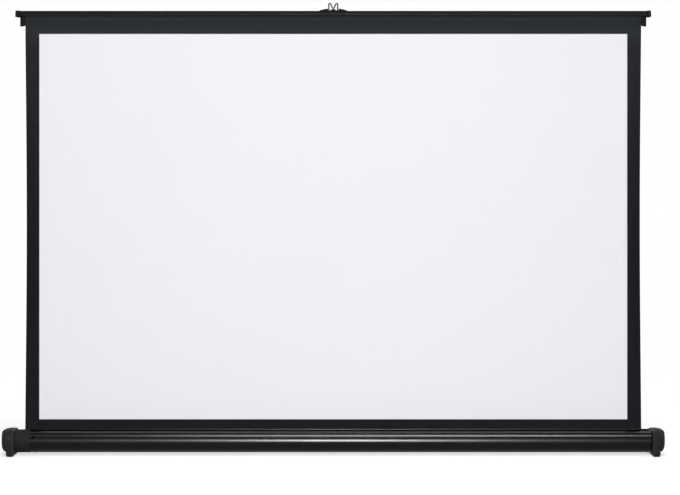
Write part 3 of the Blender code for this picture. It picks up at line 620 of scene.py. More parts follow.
def carve(obj: Piece, other: Piece, operation: str = "DIFFERENCE") -> Piece:
    """Cuts another object out of this one or joins it on, and removes it.

    Args:
        obj: The object.
        other: The cutter, or what is joined on.
        operation: The Boolean modifier's operation.

    Returns:
        The object.
    """
    modifier = obj.modifiers.new("carve", "BOOLEAN")
    modifier.operation = operation
    modifier.solver = "EXACT"
    modifier.object = other
    settle(obj)
    bpy.data.objects.remove(other)
    return obj


def gather(obj: Piece, *others: Piece) -> Piece:
    """Makes other objects' closed shells part of this one's mesh.

    Args:
        obj: The object.
        others: The others, which are removed.

    Returns:
        The object.
    """
    work = bmesh.new()
    for part in (obj, *others):
        work.from_mesh(part.data)
    work.to_mesh(obj.data)
    work.free()
    for part in others:
        bpy.data.objects.remove(part)
    return shade(obj)


def loft(name: str, rings: Sequence[Sequence[Point3]], closed: bool = False) -> Piece:
    """A skin over rings of points.

    Args:
        name: The object's name.
        rings: Rings with the same count of points.
        closed: Whether the last ring joins the first. Otherwise both ends get a face.

    Returns:
        The object.
    """
    count, last = len(rings[0]), len(rings) - 1
    pairs = [(i, i + 1) for i in range(last)] + [(last, 0)] * closed
    faces = [
        (a * count + i, a * count + (i + 1) % count, b * count + (i + 1) % count, b * count + i)
        for a, b in pairs
        for i in range(count)
    ]
    if not closed:
        faces += [tuple(range(count))[::-1], tuple(range(last * count, (last + 1) * count))]
    mesh = bpy.data.meshes.new(name)
    mesh.from_pydata([point for ring in rings for point in ring], [], faces)
    return shade(outward(new_object(name, mesh)))


def prism(
    name: str, outline: Sequence[Point2], axis: Axis, ends: Point2, hold: Sequence[float] = (2 * MM,)
) -> Piece:
    """A flat outline thickened along an axis.

    Args:
        name: The object's name.
        outline: The outline's points.
        axis: The axis along which it gets its thickness.
        ends: Where it starts and ends on the axis.
        hold: How far from its ends a long piece gets rings, which keep its shading straight.

    Returns:
        The object.
    """
    low, high = ends
    held = [low + far for far in hold] + [high - far for far in reversed(hold)]
    stops = (low, *held, high) if high - low > 10 * max(hold) else (low, high)
    return loft(name, [[axis.lift(u, v, along) for u, v in outline] for along in stops])


def block(name: str, low: Point3, high: Point3) -> Piece:
    """A box between two corners, to be carved or rounded."""
    outline = [(low[1], low[2]), (high[1], low[2]), (high[1], high[2]), (low[1], high[2])]
    return prism(name, outline, Axis.X, (low[0], high[0]))


def around(steps: int) -> list[float]:
    """The angles of this many points round a circle."""
    return [TURN * i / steps for i in range(steps)]


def lathe(
    name: str, profile: Sequence[Point2], centre: Point3, axis: Axis, steps: int = 64, hollow: bool = False
) -> Piece:
    """A profile turned about an axis.

    Args:
        name: The object's name.
        profile: Its points as (radius, height along the axis).
        centre: A point on the axis, from which heights count.
        axis: The axis.
        steps: Points round it.
        hollow: Whether the profile closes on itself away from the axis.

    Returns:
        The object.
    """
    turn = Vector(Axis.Z.value).rotation_difference(Vector(axis.value)).to_matrix()
    rings = [
        [tuple(Vector(centre) + turn @ Vector((r * math.cos(a), r * math.sin(a), h))) for a in around(steps)]
        for r, h in profile
    ]
    return loft(name, rings, hollow)


def peg(name: str, centre: Point3, axis: Axis, radius: float, ends: Point2, steps: int = 64) -> Piece:
    """A round peg along an axis, between two distances from its centre."""
    low, high = ends
    return lathe(name, [(0.0, high), (radius, high), (radius, low), (0.0, low)], centre, axis, steps)


def wire(name: str, path: Sequence[Point3], radius: float, sides: int = 20) -> Piece:
    """A round wire along a path that lies in one plane or nearly so.

    Args:
        name: The object's name.
        path: Points along its middle.
        radius: The wire's radius.
        sides: Points round it.

    Returns:
        The object.
    """
    points, last = [Vector(p) for p in path], len(path) - 1
    ways = [(points[min(i + 1, last)] - points[max(i - 1, 0)]).normalized() for i in range(last + 1)]
    across = ways[0].orthogonal().normalized()
    rings = []
    for i, (point, way) in enumerate(zip(points, ways)):
        if i:
            across = ways[i - 1].rotation_difference(way) @ across
        up = way.cross(across)
        outs = [math.cos(a) * across + math.sin(a) * up for a in around(sides)]
        rings.append([tuple(point + radius * out) for out in outs])
    return loft(name, rings)


def corner(
    centre: Point2, radius: float, start: float, end: float, steps: int = 8, tall: float = 0.0
) -> list[Point2]:
    """Points along a round corner, in degrees, or an oval one where its height differs."""
    angles = [math.radians(start + (end - start) * i / steps) for i in range(steps + 1)]
    return [(centre[0] + radius * math.cos(a), centre[1] + (tall or radius) * math.sin(a)) for a in angles]


def evenly(outline: Sequence[Point2], count: int) -> list[Point2]:
    """Spaces points evenly along a closed outline.

    Args:
        outline: The outline's points.
        count: How many are wanted.

    Returns:
        The new points.
    """
    points = [Vector(p) for p in outline] + [Vector(outline[0])]
    lengths = [0.0]
    for a, b in zip(points, points[1:]):
        lengths.append(lengths[-1] + (b - a).length)
    found, span = [], 0
    for i in range(count):
        wanted = lengths[-1] * i / count
        while lengths[span + 1] < wanted:
            span += 1
        share = (wanted - lengths[span]) / (lengths[span + 1] - lengths[span])
        found.append(tuple(points[span].lerp(points[span + 1], share)))
    return found


def dress(obj: Piece, body: Body, slot: Slot, *materials: Material, replaces: Sequence[str]) -> Piece:
    """Gives a finished piece its materials and ties it to the frame.

    Args:
        obj: The piece.
        body: The body that it moves with.
        slot: The record's material slot; not used.
        materials: Its materials, where they aren't on it yet.
        replaces: The CAD nodes that it stands for.

    Returns:
        The piece.
    """
    for material in materials:
        obj.data.materials.append(material)
    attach(obj, body.value)
    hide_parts(*replaces)
    LOG.info("%s: %d faces on %s", obj.name, len(obj.data.polygons), body.value)
    return obj


@dataclass
class Assembly:
    """A sub-assembly, with the finishes that it takes."""

    finishes: Finishes


@dataclass
class CaseTube(Assembly):
    """The round slotted case with two fine grooves along its front and a rail on its rear."""

    radius: float = 16.6 * MM
    wall: float = 1.7 * MM
    axis_z: float = 20.0 * MM
    slot: float = 6.2 * MM
    grooves: Point2 = (45.0, 23.0)
    groove_width: float = 1.2 * MM
    groove_depth: float = 0.8 * MM
    rail: float = 10.0 * MM
    rail_blend: float = 2.2
    ends: Point2 = (-436.6 * MM, 458.6 * MM)
    edge: float = 0.15 * MM
    end_hold: float = 1.0 * MM
    # painted highlight: the band, in degrees, that takes the lighter, glossier black
    rubbed: Point2 = (61.5, 49.5)
    hole_in: float = 4.4 * MM
    hole_radius: float = 2.4 * MM
    hole_depth: float = 4.2 * MM
    screws: Point2 = (-431.35 * MM, 453.35 * MM)
    sink: float = 1.0 * MM
    sink_radius: float = 2.6 * MM
    bead: float = 0.95 * MM
    bead_out: float = 3.7 * MM
    bead_z: float = 36.95 * MM

    def arc(self, radius: float, start: float, end: float, step: float = 0.75) -> list[Point2]:
        """Points round the case's axis, in degrees from the rear over the crown."""
        return corner((0.0, self.axis_z), radius, start, end, max(1, round(abs(end - start) / step)))

    def lip(self, radius: float, opening: float) -> float:
        """How far from the crown a circle meets the side of an opening, in degrees."""
        return math.degrees(math.asin(opening / 2 / radius))

    def slotted(self, outer: float, inner: float, opening: float) -> list[Point2]:
        """A round wall that is open along its crown."""
        out, back = self.lip(outer, opening), self.lip(inner, opening)
        return self.arc(outer, 90 + out, 450 - out) + self.arc(inner, 450 - back, 90 + back)

    def section(self) -> list[Point2]:
        """Draws the case's own wall.

        Returns:
            Its outline, from the slot round the front, the rear and back inside.
        """
        bore, floor = self.radius - self.wall, self.radius - self.groove_depth
        lip, back = self.lip(self.radius, self.slot), self.lip(bore, self.slot)
        half = math.degrees(self.groove_width / 2 / self.radius)
        upper, start = (180 - degrees for degrees in self.rubbed)
        points = self.arc(self.radius, 90 + lip, upper) + self.arc(self.radius, upper, start)
        for groove in self.grooves:
            near, far = 180 - groove - half, 180 - groove + half
            points += self.arc(self.radius, start, near) + self.arc(floor, near, far)
            start = far
        rail = math.degrees(math.atan2(self.rail / 2, self.radius)) + self.rail_blend
        points += self.arc(self.radius, start, 360 - rail)
        points += [(self.radius, self.axis_z + side * self.rail / 2) for side in (-1, 1)]
        points += self.arc(self.radius, 360 + rail, 450 - lip)
        return points + self.arc(bore, 450 - back, 90 + back)

    def hole(self) -> Piece:
        """Makes a cutter for the small hole at the lower groove's left end.

        Returns:
            The cutter.
        """
        turn = math.radians(self.grooves[1])
        way = Vector((0.0, -math.cos(turn), math.sin(turn)))
        centre = Vector((self.ends[0] + self.hole_in, 0.0, self.axis_z))
        ends = [tuple(centre + way * (self.radius + past)) for past in (-self.hole_depth, self.wall)]
        return wire("hole", ends, self.hole_radius, 32)

    def build(self) -> None:
        """Makes the case with its hole, the recesses of its lower screws and its slot's front lip."""
        hold = (self.end_hold, 3 * self.hole_in)
        shell = soften(prism("case_shell", self.section(), Axis.X, self.ends, hold), self.edge, 30.0)
        shade(carve(shell, self.hole()))
        for x in self.screws:
            base, ends = (x, 0.0, self.axis_z - self.radius), (-self.sink, self.sink)
            carve(shell, peg("recess", base, Axis.Z, self.sink_radius, ends, 32))
        # painted highlight: faces in the band take the lighter, glossier black
        for face in shell.data.polygons:
            height, front = face.center.z - self.axis_z, -face.center.y
            degrees = math.degrees(math.atan2(height, front))
            outside = math.hypot(height, front) > self.radius - self.groove_depth / 2
            if outside and self.rubbed[1] < degrees < self.rubbed[0]:
                face.material_index = 1
        outline = corner((-self.bead_out, self.bead_z), self.bead, 0, 345, 23)
        lip = prism("slot_lip", outline, Axis.X, (self.ends[0] + self.wall, self.ends[1] - self.wall))
        gather(shell, soften(lip, self.edge, 50.0))
        looks = (self.finishes.tube, self.finishes.rubbed)
        dress(shell, Body.CASE, Slot.EXTRUSION, *looks, replaces=["case_tube"])


@dataclass
class EndCap(Assembly):
    """A domed end of the case, which is also its foot."""

    side: Side
    tube: CaseTube
    inner: float = 458.9 * MM
    outer: float = 468.9 * MM
    height: float = 37.8 * MM
    depth: float = 64.0 * MM
    foot: float = 1.8 * MM
    foot_round: float = 2.5 * MM
    top_round: float = 20.0 * MM
    top_drop: float = 13.0 * MM
    edge: float = 1.0 * MM
    outer_edge: float = 0.4 * MM
    # painted highlight: how far out from the inner face the band of lighter moulding reaches
    rubbed: Point2 = (0.02 * MM, 1.4 * MM)
    dome: float = 9.5 * MM
    dome_in: float = 0.1 * MM
    dome_foot: float = 6.8 * MM
    dome_foot_round: float = 10.0 * MM
    dome_upright: Point2 = (0.27, 0.85)
    dome_fullness: float = 0.87
    dome_round: float = 0.35
    dome_turn: float = 87.0
    dome_rings: int = 20
    sleeve: float = 22.0 * MM
    sleeve_gap: float = 0.1 * MM
    sleeve_edge: float = 0.25 * MM
    spigot: float = 10.5 * MM
    spigot_wall: float = 1.4 * MM
    rooted: float = 0.5 * MM
    points: int = 144

    def outline(self, inset: float, foot: float, foot_round: float) -> list[Point2]:
        """Draws the cap from the side.

        Args:
            inset: How far inside its edge.
            foot: How far above the floor it starts.
            foot_round: The radius at its foot.

        Returns:
            Evenly spaced points.
        """
        half, low = self.depth / 2 - inset, foot + inset
        wide, high = self.top_round - inset, self.top_drop - inset
        rear = corner((half - wide, self.height - self.top_drop), wide, 0, 90, 24, high)
        points = rear + [(-y, z) for y, z in reversed(rear)]
        points += corner((foot_round - half, low + foot_round), foot_round, 180, 270)
        points += corner((half - foot_round, low + foot_round), foot_round, 270, 360)
        return evenly(points, self.points)

    def ring(self, x: float, outline: Sequence[Point2]) -> list[Point3]:
        """An outline at this distance from the middle."""
        return [(self.side.value * x, y, z) for y, z in outline]

    def dome_ring(self, share: float) -> list[Point3]:
        """Draws a ring of the dome, which goes over to an ellipse on its way out.

        Args:
            share: How far out it is, from 0 to 1.

        Returns:
            Its points.
        """
        full = math.radians(self.dome_turn)
        turn = full * share
        inset = self.outer_edge + self.dome_in
        base = self.outline(inset, self.dome_foot - inset, self.dome_foot_round)
        middle = (self.height + self.dome_foot) / 2
        half_y = max(y for y, _ in base)
        half_z = max(z for _, z in base) - middle
        narrow, mix = math.cos(turn), self.dome_round * share**2
        above, below = (narrow**upright for upright in self.dome_upright)
        points = []
        for y, z in base:
            up = z - middle
            angle = math.atan2(up / half_z, y / half_y)
            y += (half_y * math.cos(angle) - y) * mix
            up += (half_z * math.sin(angle) - up) * mix
            points.append((y * narrow, middle + up * (above if up > 0 else below)))
        reach = self.outer + self.dome * (math.sin(turn) / math.sin(full)) ** self.dome_fullness
        return self.ring(reach, points)

    def run_of(self, name: str, outline: Sequence[Point2], start: float) -> Piece:
        """A section that runs from this far out to the cap's inner face."""
        ends = sorted((self.side.value * start, self.side.value * (self.inner + self.rooted)))
        return prism(name, outline, Axis.X, ends)

    def build(self) -> None:
        """Makes the cap with its spigot and, at the left, its sleeve."""
        tube, soft, sharp = self.tube, self.edge, self.outer_edge
        steps = corner((self.inner + soft, soft), soft, 180, 270, 4)
        steps += corner((self.outer - sharp, sharp), sharp, 270, 360, 4)
        rings = [self.ring(x, self.outline(inset, self.foot, self.foot_round)) for x, inset in steps]
        rings += [self.dome_ring(i / self.dome_rings) for i in range(self.dome_rings + 1)]
        cap = loft(f"{self.side.word}_end_cap_moulding", rings)
        bore = tube.radius - tube.wall - GAP
        tube_end = abs(tube.ends[0 if self.side is Side.LEFT else 1])
        wall = tube.slotted(bore, bore - self.spigot_wall, tube.slot + 2 * GAP)
        parts = [self.run_of("spigot", wall, tube_end - self.spigot)]
        if self.side is Side.LEFT:
            carve(parts[0], tube.hole())
            wall = tube.slotted(tube.radius, bore + self.sleeve_gap, tube.slot)
            sleeve = self.run_of("sleeve", wall, self.inner - self.sleeve)
            parts.append(soften(sleeve, self.sleeve_edge, 50.0))
        # painted highlight: the inner edge's fillet takes the lighter, glossier moulding
        for face in cap.data.polygons:
            if self.rubbed[0] < abs(face.center.x) - self.inner < self.rubbed[1]:
                face.material_index = 1
        gather(cap, *parts)
        looks = (self.finishes.cap, self.finishes.rubbed_plastic)
        dress(cap, Body.CASE, Slot.PLASTIC, *looks, replaces=[f"{self.side.word}_end_cap"])


@dataclass
class FootPads(Assembly):
    """The ribbed rubber strips under the end caps."""

    inner: float = 459.9 * MM
    outer: float = 467.9 * MM
    half_depth: float = 28.5 * MM
    thickness: float = 1.5 * MM
    groove: float = 0.6 * MM
    ribs: int = 19
    rib_share: float = 0.6
    rib_rooted: float = 0.1 * MM

    def tree(self) -> ShapeGraph:
        """Sets out a plate with a row of ribs under it.

        Returns:
            The tree.
        """
        graph = ShapeGraph("ribbed_pad")
        size, place, rib, count, first, step = graph.inputs(
            plate="Vector", plate_place="Vector", rib="Vector", ribs="Int",
            first_rib="Vector", rib_step="Vector",
        )
        plate = graph.node("GeometryNodeMeshCube", sockets={"Size": size})
        plate = graph.node("GeometryNodeTransform", sockets={"Geometry": plate, "Translation": place})
        line = {"Count": count, "Start Location": first, "Offset": step}
        row = graph.node("GeometryNodeMeshLine", sockets=line)
        bar = graph.node("GeometryNodeMeshCube", sockets={"Size": rib})
        ribs = graph.node("GeometryNodeInstanceOnPoints", sockets={"Points": row, "Instance": bar})
        both = graph.node("GeometryNodeJoinGeometry", sockets={"Geometry": plate})
        graph.feed(both.socket.node.inputs["Geometry"], ribs)
        return graph.close(both, self.finishes.rubber)

    def build(self) -> None:
        """Makes both pads."""
        graph = self.tree()
        width, length, plate = self.outer - self.inner, 2 * self.half_depth, self.thickness - self.groove
        step = length / self.ribs
        for side in Side:
            x = side.value * (self.inner + self.outer) / 2
            pad = graph.run(
                f"{side.word}_ribbed_pad",
                plate=(width, length, plate),
                plate_place=(x, 0.0, self.groove + plate / 2),
                rib=(width, self.rib_share * step, self.groove + self.rib_rooted),
                ribs=self.ribs,
                first_rib=(x, -self.half_depth + step / 2, (self.groove + self.rib_rooted) / 2),
                rib_step=(0.0, step, 0.0),
            )
            dress(pad, Body.CASE, Slot.RUBBER, replaces=[f"{side.word}_foot_pad"])


@dataclass
class Sheet(Assembly):
    """The sheet: from the bar down through the slot to the front of the roller."""

    white: Colour = (0.845, 0.852, 0.882)
    roughness: float = 0.86
    width: float = 890.8 * MM
    thickness: float = 0.35 * MM
    top: float = 633.48 * MM
    slot_z: float = 35.75 * MM
    end: Point2 = (-8.334 * MM, 23.083 * MM)
    field_half: float = 425.0 * MM
    field_low: float = 51.2 * MM
    field_high: float = 608.2 * MM
    ripple: float = 0.4 * MM
    ripple_across: Point2 = (9.0, 1.3)
    ripple_up: float = 4.0
    slack: float = 0.8
    curl_from: float = 418.0 * MM
    curl_turn: float = 0.52
    least_curl: float = 0.01
    columns: int = 120
    rows: int = 80
    tail_rows: int = 6
    anchor_z: float = 30.0 * MM
    travel: float = 598.0 * MM

    def hang(self, along: float, z: float) -> Point2:
        """Where a point of the hanging cloth stands, flat at the bar and the slot and slack between them.

        Args:
            along: Its place across the cloth, from the middle.
            z: Its height.

        Returns:
            Its x and y.
        """
        share = (z - self.slot_z) / (self.top - self.slot_z)
        if not 0.0 < share < 1.0:
            return (along, 0.0)
        held = math.sin(math.pi * share) ** self.slack
        often, start = self.ripple_across
        wave = self.ripple * held * math.sin(often * along + start) * math.cos(self.ripple_up * z)
        past = abs(along) - self.curl_from
        if past <= 0.0:
            return (along, wave)
        radius = (self.width / 2 - self.curl_from) / (self.curl_turn * held + self.least_curl)
        x = self.curl_from + radius * math.sin(past / radius)
        return (math.copysign(x, along), wave + radius * (1.0 - math.cos(past / radius)))

    def path(self) -> list[Point3]:
        """Sets out points down the sheet.

        Returns:
            Each point's y, z and share of the sheet's height.
        """
        drop, tail = self.slot_z - self.top, self.end[1] - self.slot_z
        points = [(0.0, self.top + drop * i / self.rows) for i in range(self.rows + 1)]
        shares = [i / self.tail_rows for i in range(1, self.tail_rows + 1)]
        points += [(self.end[0] * share, self.slot_z + tail * share) for share in shares]
        return [(y, z, (z - self.end[1]) / (self.top - self.end[1])) for y, z in points]

    def length(self) -> float:
        """The sheet's own length down its path."""
        return self.top - self.slot_z + math.hypot(self.end[0], self.slot_z - self.end[1])

    def build(self) -> Piece:
        """Makes the sheet, white in front and black behind.

        Returns:
            The sheet.
        """
        path, points, places = self.path(), [], []
        for i in range(self.columns + 1):
            across = i / self.columns
            for y, z, up in path:
                x, off = self.hang((across - 0.5) * self.width, z)
                points.append((x, y + off, z))
                places.append((across, up))
        count = len(path)
        faces = [
            (i * count + k + 1, (i + 1) * count + k + 1, (i + 1) * count + k, i * count + k)
            for i in range(self.columns)
            for k in range(count - 1)
        ]
        mesh = bpy.data.meshes.new("screen_sheet")
        mesh.from_pydata(points, [], faces)
        layer = mesh.uv_layers.new(name=CLOTH_MAP)
        for loop in mesh.loops:
            layer.uv[loop.index].vector = places[loop.vertex_index]
        sheet = new_object("screen_sheet", mesh)
        mesh.materials.append(ScreenCloth("white_screen_cloth", self.white, self.roughness, self).make())
        mesh.materials.append(self.finishes.backing)
        wall = sheet.modifiers.new("thickness", "SOLIDIFY")
        wall.thickness = self.thickness
        wall.offset = 0.0
        wall.material_offset = 1
        shade(settle(sheet), 60.0)
        return dress(sheet, Body.CASE, Slot.CLOTH, replaces=["screen_fabric"])

    def declare(self, sheet: Piece, turns: Piece) -> None:
        """Gives the sheet a mesh of its own.

        Args:
            sheet: The sheet.
            turns: The turns of it on the roller; not used.
        """
        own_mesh(sheet)


@dataclass
class RollerWorks(Assembly):
    """What turns and what stays still inside the case."""

    axis_z: float = 17.6 * MM
    half_width: float = 445.0 * MM
    roller_radius: float = 8.5 * MM
    turns: float = 2.0
    turn_steps: int = 48
    cloth: float = 0.24 * MM
    wrap_outside: float = 9.5 * MM
    spring_wire: float = 0.7 * MM
    spring_radius: float = 5.35 * MM
    spring_turns: float = 16.0
    spring_ends: Point2 = (-432.0 * MM, -297.6 * MM)
    steel: tuple[str, ...] = ("roller_tube", "spring_arbor")
    nylon: tuple[str, ...] = (
        "roller_spring_plug", "roller_pin_plug", "roller_bush", "spring_anchor", "fabric_spline",
        "mast_middle_glide", "mast_top_glide",
    )

    def wound(self) -> Piece:
        """Makes the turns of sheet on the roller, as one spiral strip.

        Returns:
            The turns.
        """
        start, steps = self.roller_radius + GAP, round(self.turns * self.turn_steps)
        inside, outside = [], []
        for i in range(steps + 1):
            turn = TURN * i / self.turn_steps + math.pi
            radius = start + (self.wrap_outside - self.cloth - start) * i / steps
            for found, r in ((inside, radius), (outside, radius + self.cloth)):
                found.append((r * math.cos(turn), self.axis_z + r * math.sin(turn)))
        roll = prism("wound_sheet", inside + outside[::-1], Axis.X, (-self.half_width, self.half_width))
        return dress(roll, Body.ROLLER, Slot.CLOTH, self.finishes.backing, replaces=["fabric_wrap"])

    def spring(self) -> None:
        """Makes the torsion spring, coiled by rule."""
        graph = ShapeGraph("torsion_spring")
        turns, radius, length, thick, place = graph.inputs(
            turns="Float", coil_radius="Float", coil_length="Float", wire_radius="Float", place="Vector"
        )
        look = {"Resolution": 24, "Rotations": turns, "Start Radius": radius, "End Radius": radius}
        coil = graph.node("GeometryNodeCurveSpiral", sockets={**look, "Height": length})
        look = {"Resolution": 10, "Radius": thick}
        ring = graph.node("GeometryNodeCurvePrimitiveCircle", sockets=look, out="Curve")
        look = {"Curve": coil, "Profile Curve": ring, "Fill Caps": True}
        body = graph.node("GeometryNodeCurveToMesh", sockets=look)
        look = {"Geometry": body, "Translation": place, "Rotation": (0.0, math.pi / 2, 0.0)}
        graph.close(graph.node("GeometryNodeTransform", sockets=look), self.finishes.steel)
        low, high = self.spring_ends
        spring = graph.run(
            "torsion_spring",
            turns=self.spring_turns,
            coil_radius=self.spring_radius,
            coil_length=high - low - 2 * self.spring_wire,
            wire_radius=self.spring_wire,
            place=(low + self.spring_wire, 0.0, self.axis_z),
        )
        dress(spring, Body.CASE, Slot.STEEL, replaces=["roller_spring"])

    def plain_nodes(self) -> None:
        """Gives the inner pieces that keep their CAD shape their finishes."""
        for material, names in ((self.finishes.steel, self.steel), (self.finishes.nylon, self.nylon)):
            for name in names:
                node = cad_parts[name]
                node.data.materials.clear()
                node.data.materials.append(material)
                LOG.info("%s: CAD shape kept", name)

    def build(self) -> Piece:
        """Makes the works.

        Returns:
            The wound sheet.
        """
        self.spring()
        self.plain_nodes()
        return self.wound()


@dataclass
class TopBar(Assembly):
    """The bar that carries the sheet, with its end plates and tongues."""

    top: float = 641.5 * MM
    lip_z: float = 634.3 * MM
    front: float = 10.0 * MM
    rear: float = 4.0 * MM
    brow: float = 7.0 * MM
    brow_drop: float = 4.4 * MM
    rear_round: float = 1.2 * MM
    lip: float = 1.0 * MM
    edge: float = 0.15 * MM
    seat_radius: float = 18.8 * MM
    half: float = 452.7 * MM
    stem_half: float = 445.0 * MM
    stem_width: float = 4.8 * MM
    stem_drop: float = 5.0 * MM
    stem_root: float = 0.7 * MM
    channel: float = 1.5 * MM
    channel_drop: float = 2.2 * MM
    slit: float = 1.0 * MM
    ledge: float = 0.4 * MM
    plate: Point2 = (453.0 * MM, 457.9 * MM)
    plate_rise: float = 0.3 * MM
    plate_proud: float = 0.5 * MM
    plate_reach: float = 3.3 * MM
    plate_drop: float = 2.4 * MM
    plate_edge: float = 0.3 * MM
    tongue: Point2 = (445.5 * MM, 452.4 * MM)
    tongue_drop: float = 15.4 * MM
    tongue_fillet: float = 1.2 * MM
    tongue_half: float = 2.2 * MM
    tongue_slope: float = 0.1
    tongue_root: float = 1.0 * MM

    @property
    def seat_z(self) -> float:
        """The height of the hollow underside's centre."""
        return self.lip_z - math.sqrt(self.seat_radius**2 - self.front**2)

    def seat(self, y: float) -> float:
        """The height of the hollow underside."""
        return self.seat_z + math.sqrt(self.seat_radius**2 - y**2)

    def outline(self, larger: bool = False) -> list[Point2]:
        """Draws the bar from its end.

        Args:
            larger: Whether it is the larger outline of an end plate.

        Returns:
            The outline.
        """
        grow, ledge = (1.0, 0.0) if larger else (0.0, self.ledge)
        top, rear = self.top + grow * self.plate_rise, self.rear + grow * self.plate_proud
        front, low = -self.front - grow * self.plate_reach, self.lip_z - grow * self.plate_drop
        points = corner((rear - self.rear_round, top - self.rear_round), self.rear_round, 0, 90)
        brow = (front + ledge + self.brow, top - self.brow_drop)
        points += corner(brow, self.brow, 90, 180, 18, self.brow_drop)
        if ledge:
            points += corner((front + ledge, top - self.brow_drop - ledge), ledge, 90, 180)[1:]
        lip_end = front + self.lip
        points += [(front, low), (lip_end, low)]
        return points + [(y, self.seat(y)) for y in [lip_end + (rear - lip_end) * i / 16 for i in range(17)]]

    def stem(self) -> list[Point2]:
        """Draws the keyhole rib that holds the sheet's upper edge.

        Returns:
            The outline.
        """
        crown = self.seat(0.0)
        half, slit = self.stem_width / 2, self.slit / 2
        foot, root = crown - self.stem_drop, crown + self.stem_root
        mouth = math.degrees(math.asin(slit / self.channel))
        points = [(-half, root), (-half, foot), (-slit, foot)]
        points += corner((0.0, crown - self.channel_drop), self.channel, 270 - mouth, mouth - 90, 28)
        return points + [(slit, foot), (half, foot), (half, root)]

    def tongue_outline(self, side: Side) -> list[Point2]:
        """Draws a tongue from the front: a curved web off the plate and a foot that slopes up inwards.

        Args:
            side: The end that it is at.

        Returns:
            The outline.
        """
        inner, outer = self.tongue
        low, high = self.plate[0] + GAP, self.plate[1] - GAP
        root, foot = self.seat(self.tongue_half) - GAP, self.lip_z - self.tongue_drop
        fillet, sill = self.tongue_fillet, self.lip_z - self.plate_drop + GAP
        slope, crest = self.tongue_slope * (outer - inner), root + self.tongue_root
        points = [(high, crest), (high, sill)]
        points += corner((outer + fillet, sill - fillet), fillet, 90, 180)
        points += [(outer, foot), (inner + slope, foot + slope), (inner, foot + 3 * slope), (inner, root)]
        points += [(low, root), (low, crest)]
        return [(side.value * x, z) for x, z in points]

    def build(self) -> None:
        """Makes the bar and its end plates."""
        looks = self.finishes
        bar = prism("sheet_bar", self.outline(), Axis.X, (-self.half, self.half))
        rib = prism("rib", self.stem(), Axis.X, (-self.stem_half, self.stem_half))
        soften(carve(bar, rib, "UNION"), self.edge, 40.0)
        step = self.top - self.brow_drop
        # painted light: the lower front face and the rib's front face take the lighter blacks; the ledge
        # takes the glossy case finish
        for face in bar.data.polygons:
            y, z = face.center.y, face.center.z
            if y < self.ledge - self.front and z < step:
                face.material_index = 1 if z > step - self.ledge else 2
            elif abs(y + self.stem_width / 2) < self.ledge and z < self.seat(0.0):
                face.material_index = 3
        finish = (looks.bar, looks.tube, looks.bar_face, looks.bar_rib)
        dress(bar, Body.BAR, Slot.EXTRUSION, *finish, replaces=["top_bar"])
        for side in Side:
            ends = sorted(side.value * x for x in self.plate)
            plate = prism(f"{side.word}_bar_end", self.outline(True), Axis.X, ends)
            thick = (-self.tongue_half, self.tongue_half)
            tongue = prism("tongue", self.tongue_outline(side), Axis.Y, thick)
            soften(carve(plate, tongue, "UNION"), self.plate_edge, 40.0)
            dress(plate, Body.BAR, Slot.PLASTIC, looks.plastic, replaces=[f"top_bar_{side.word}_cap"])


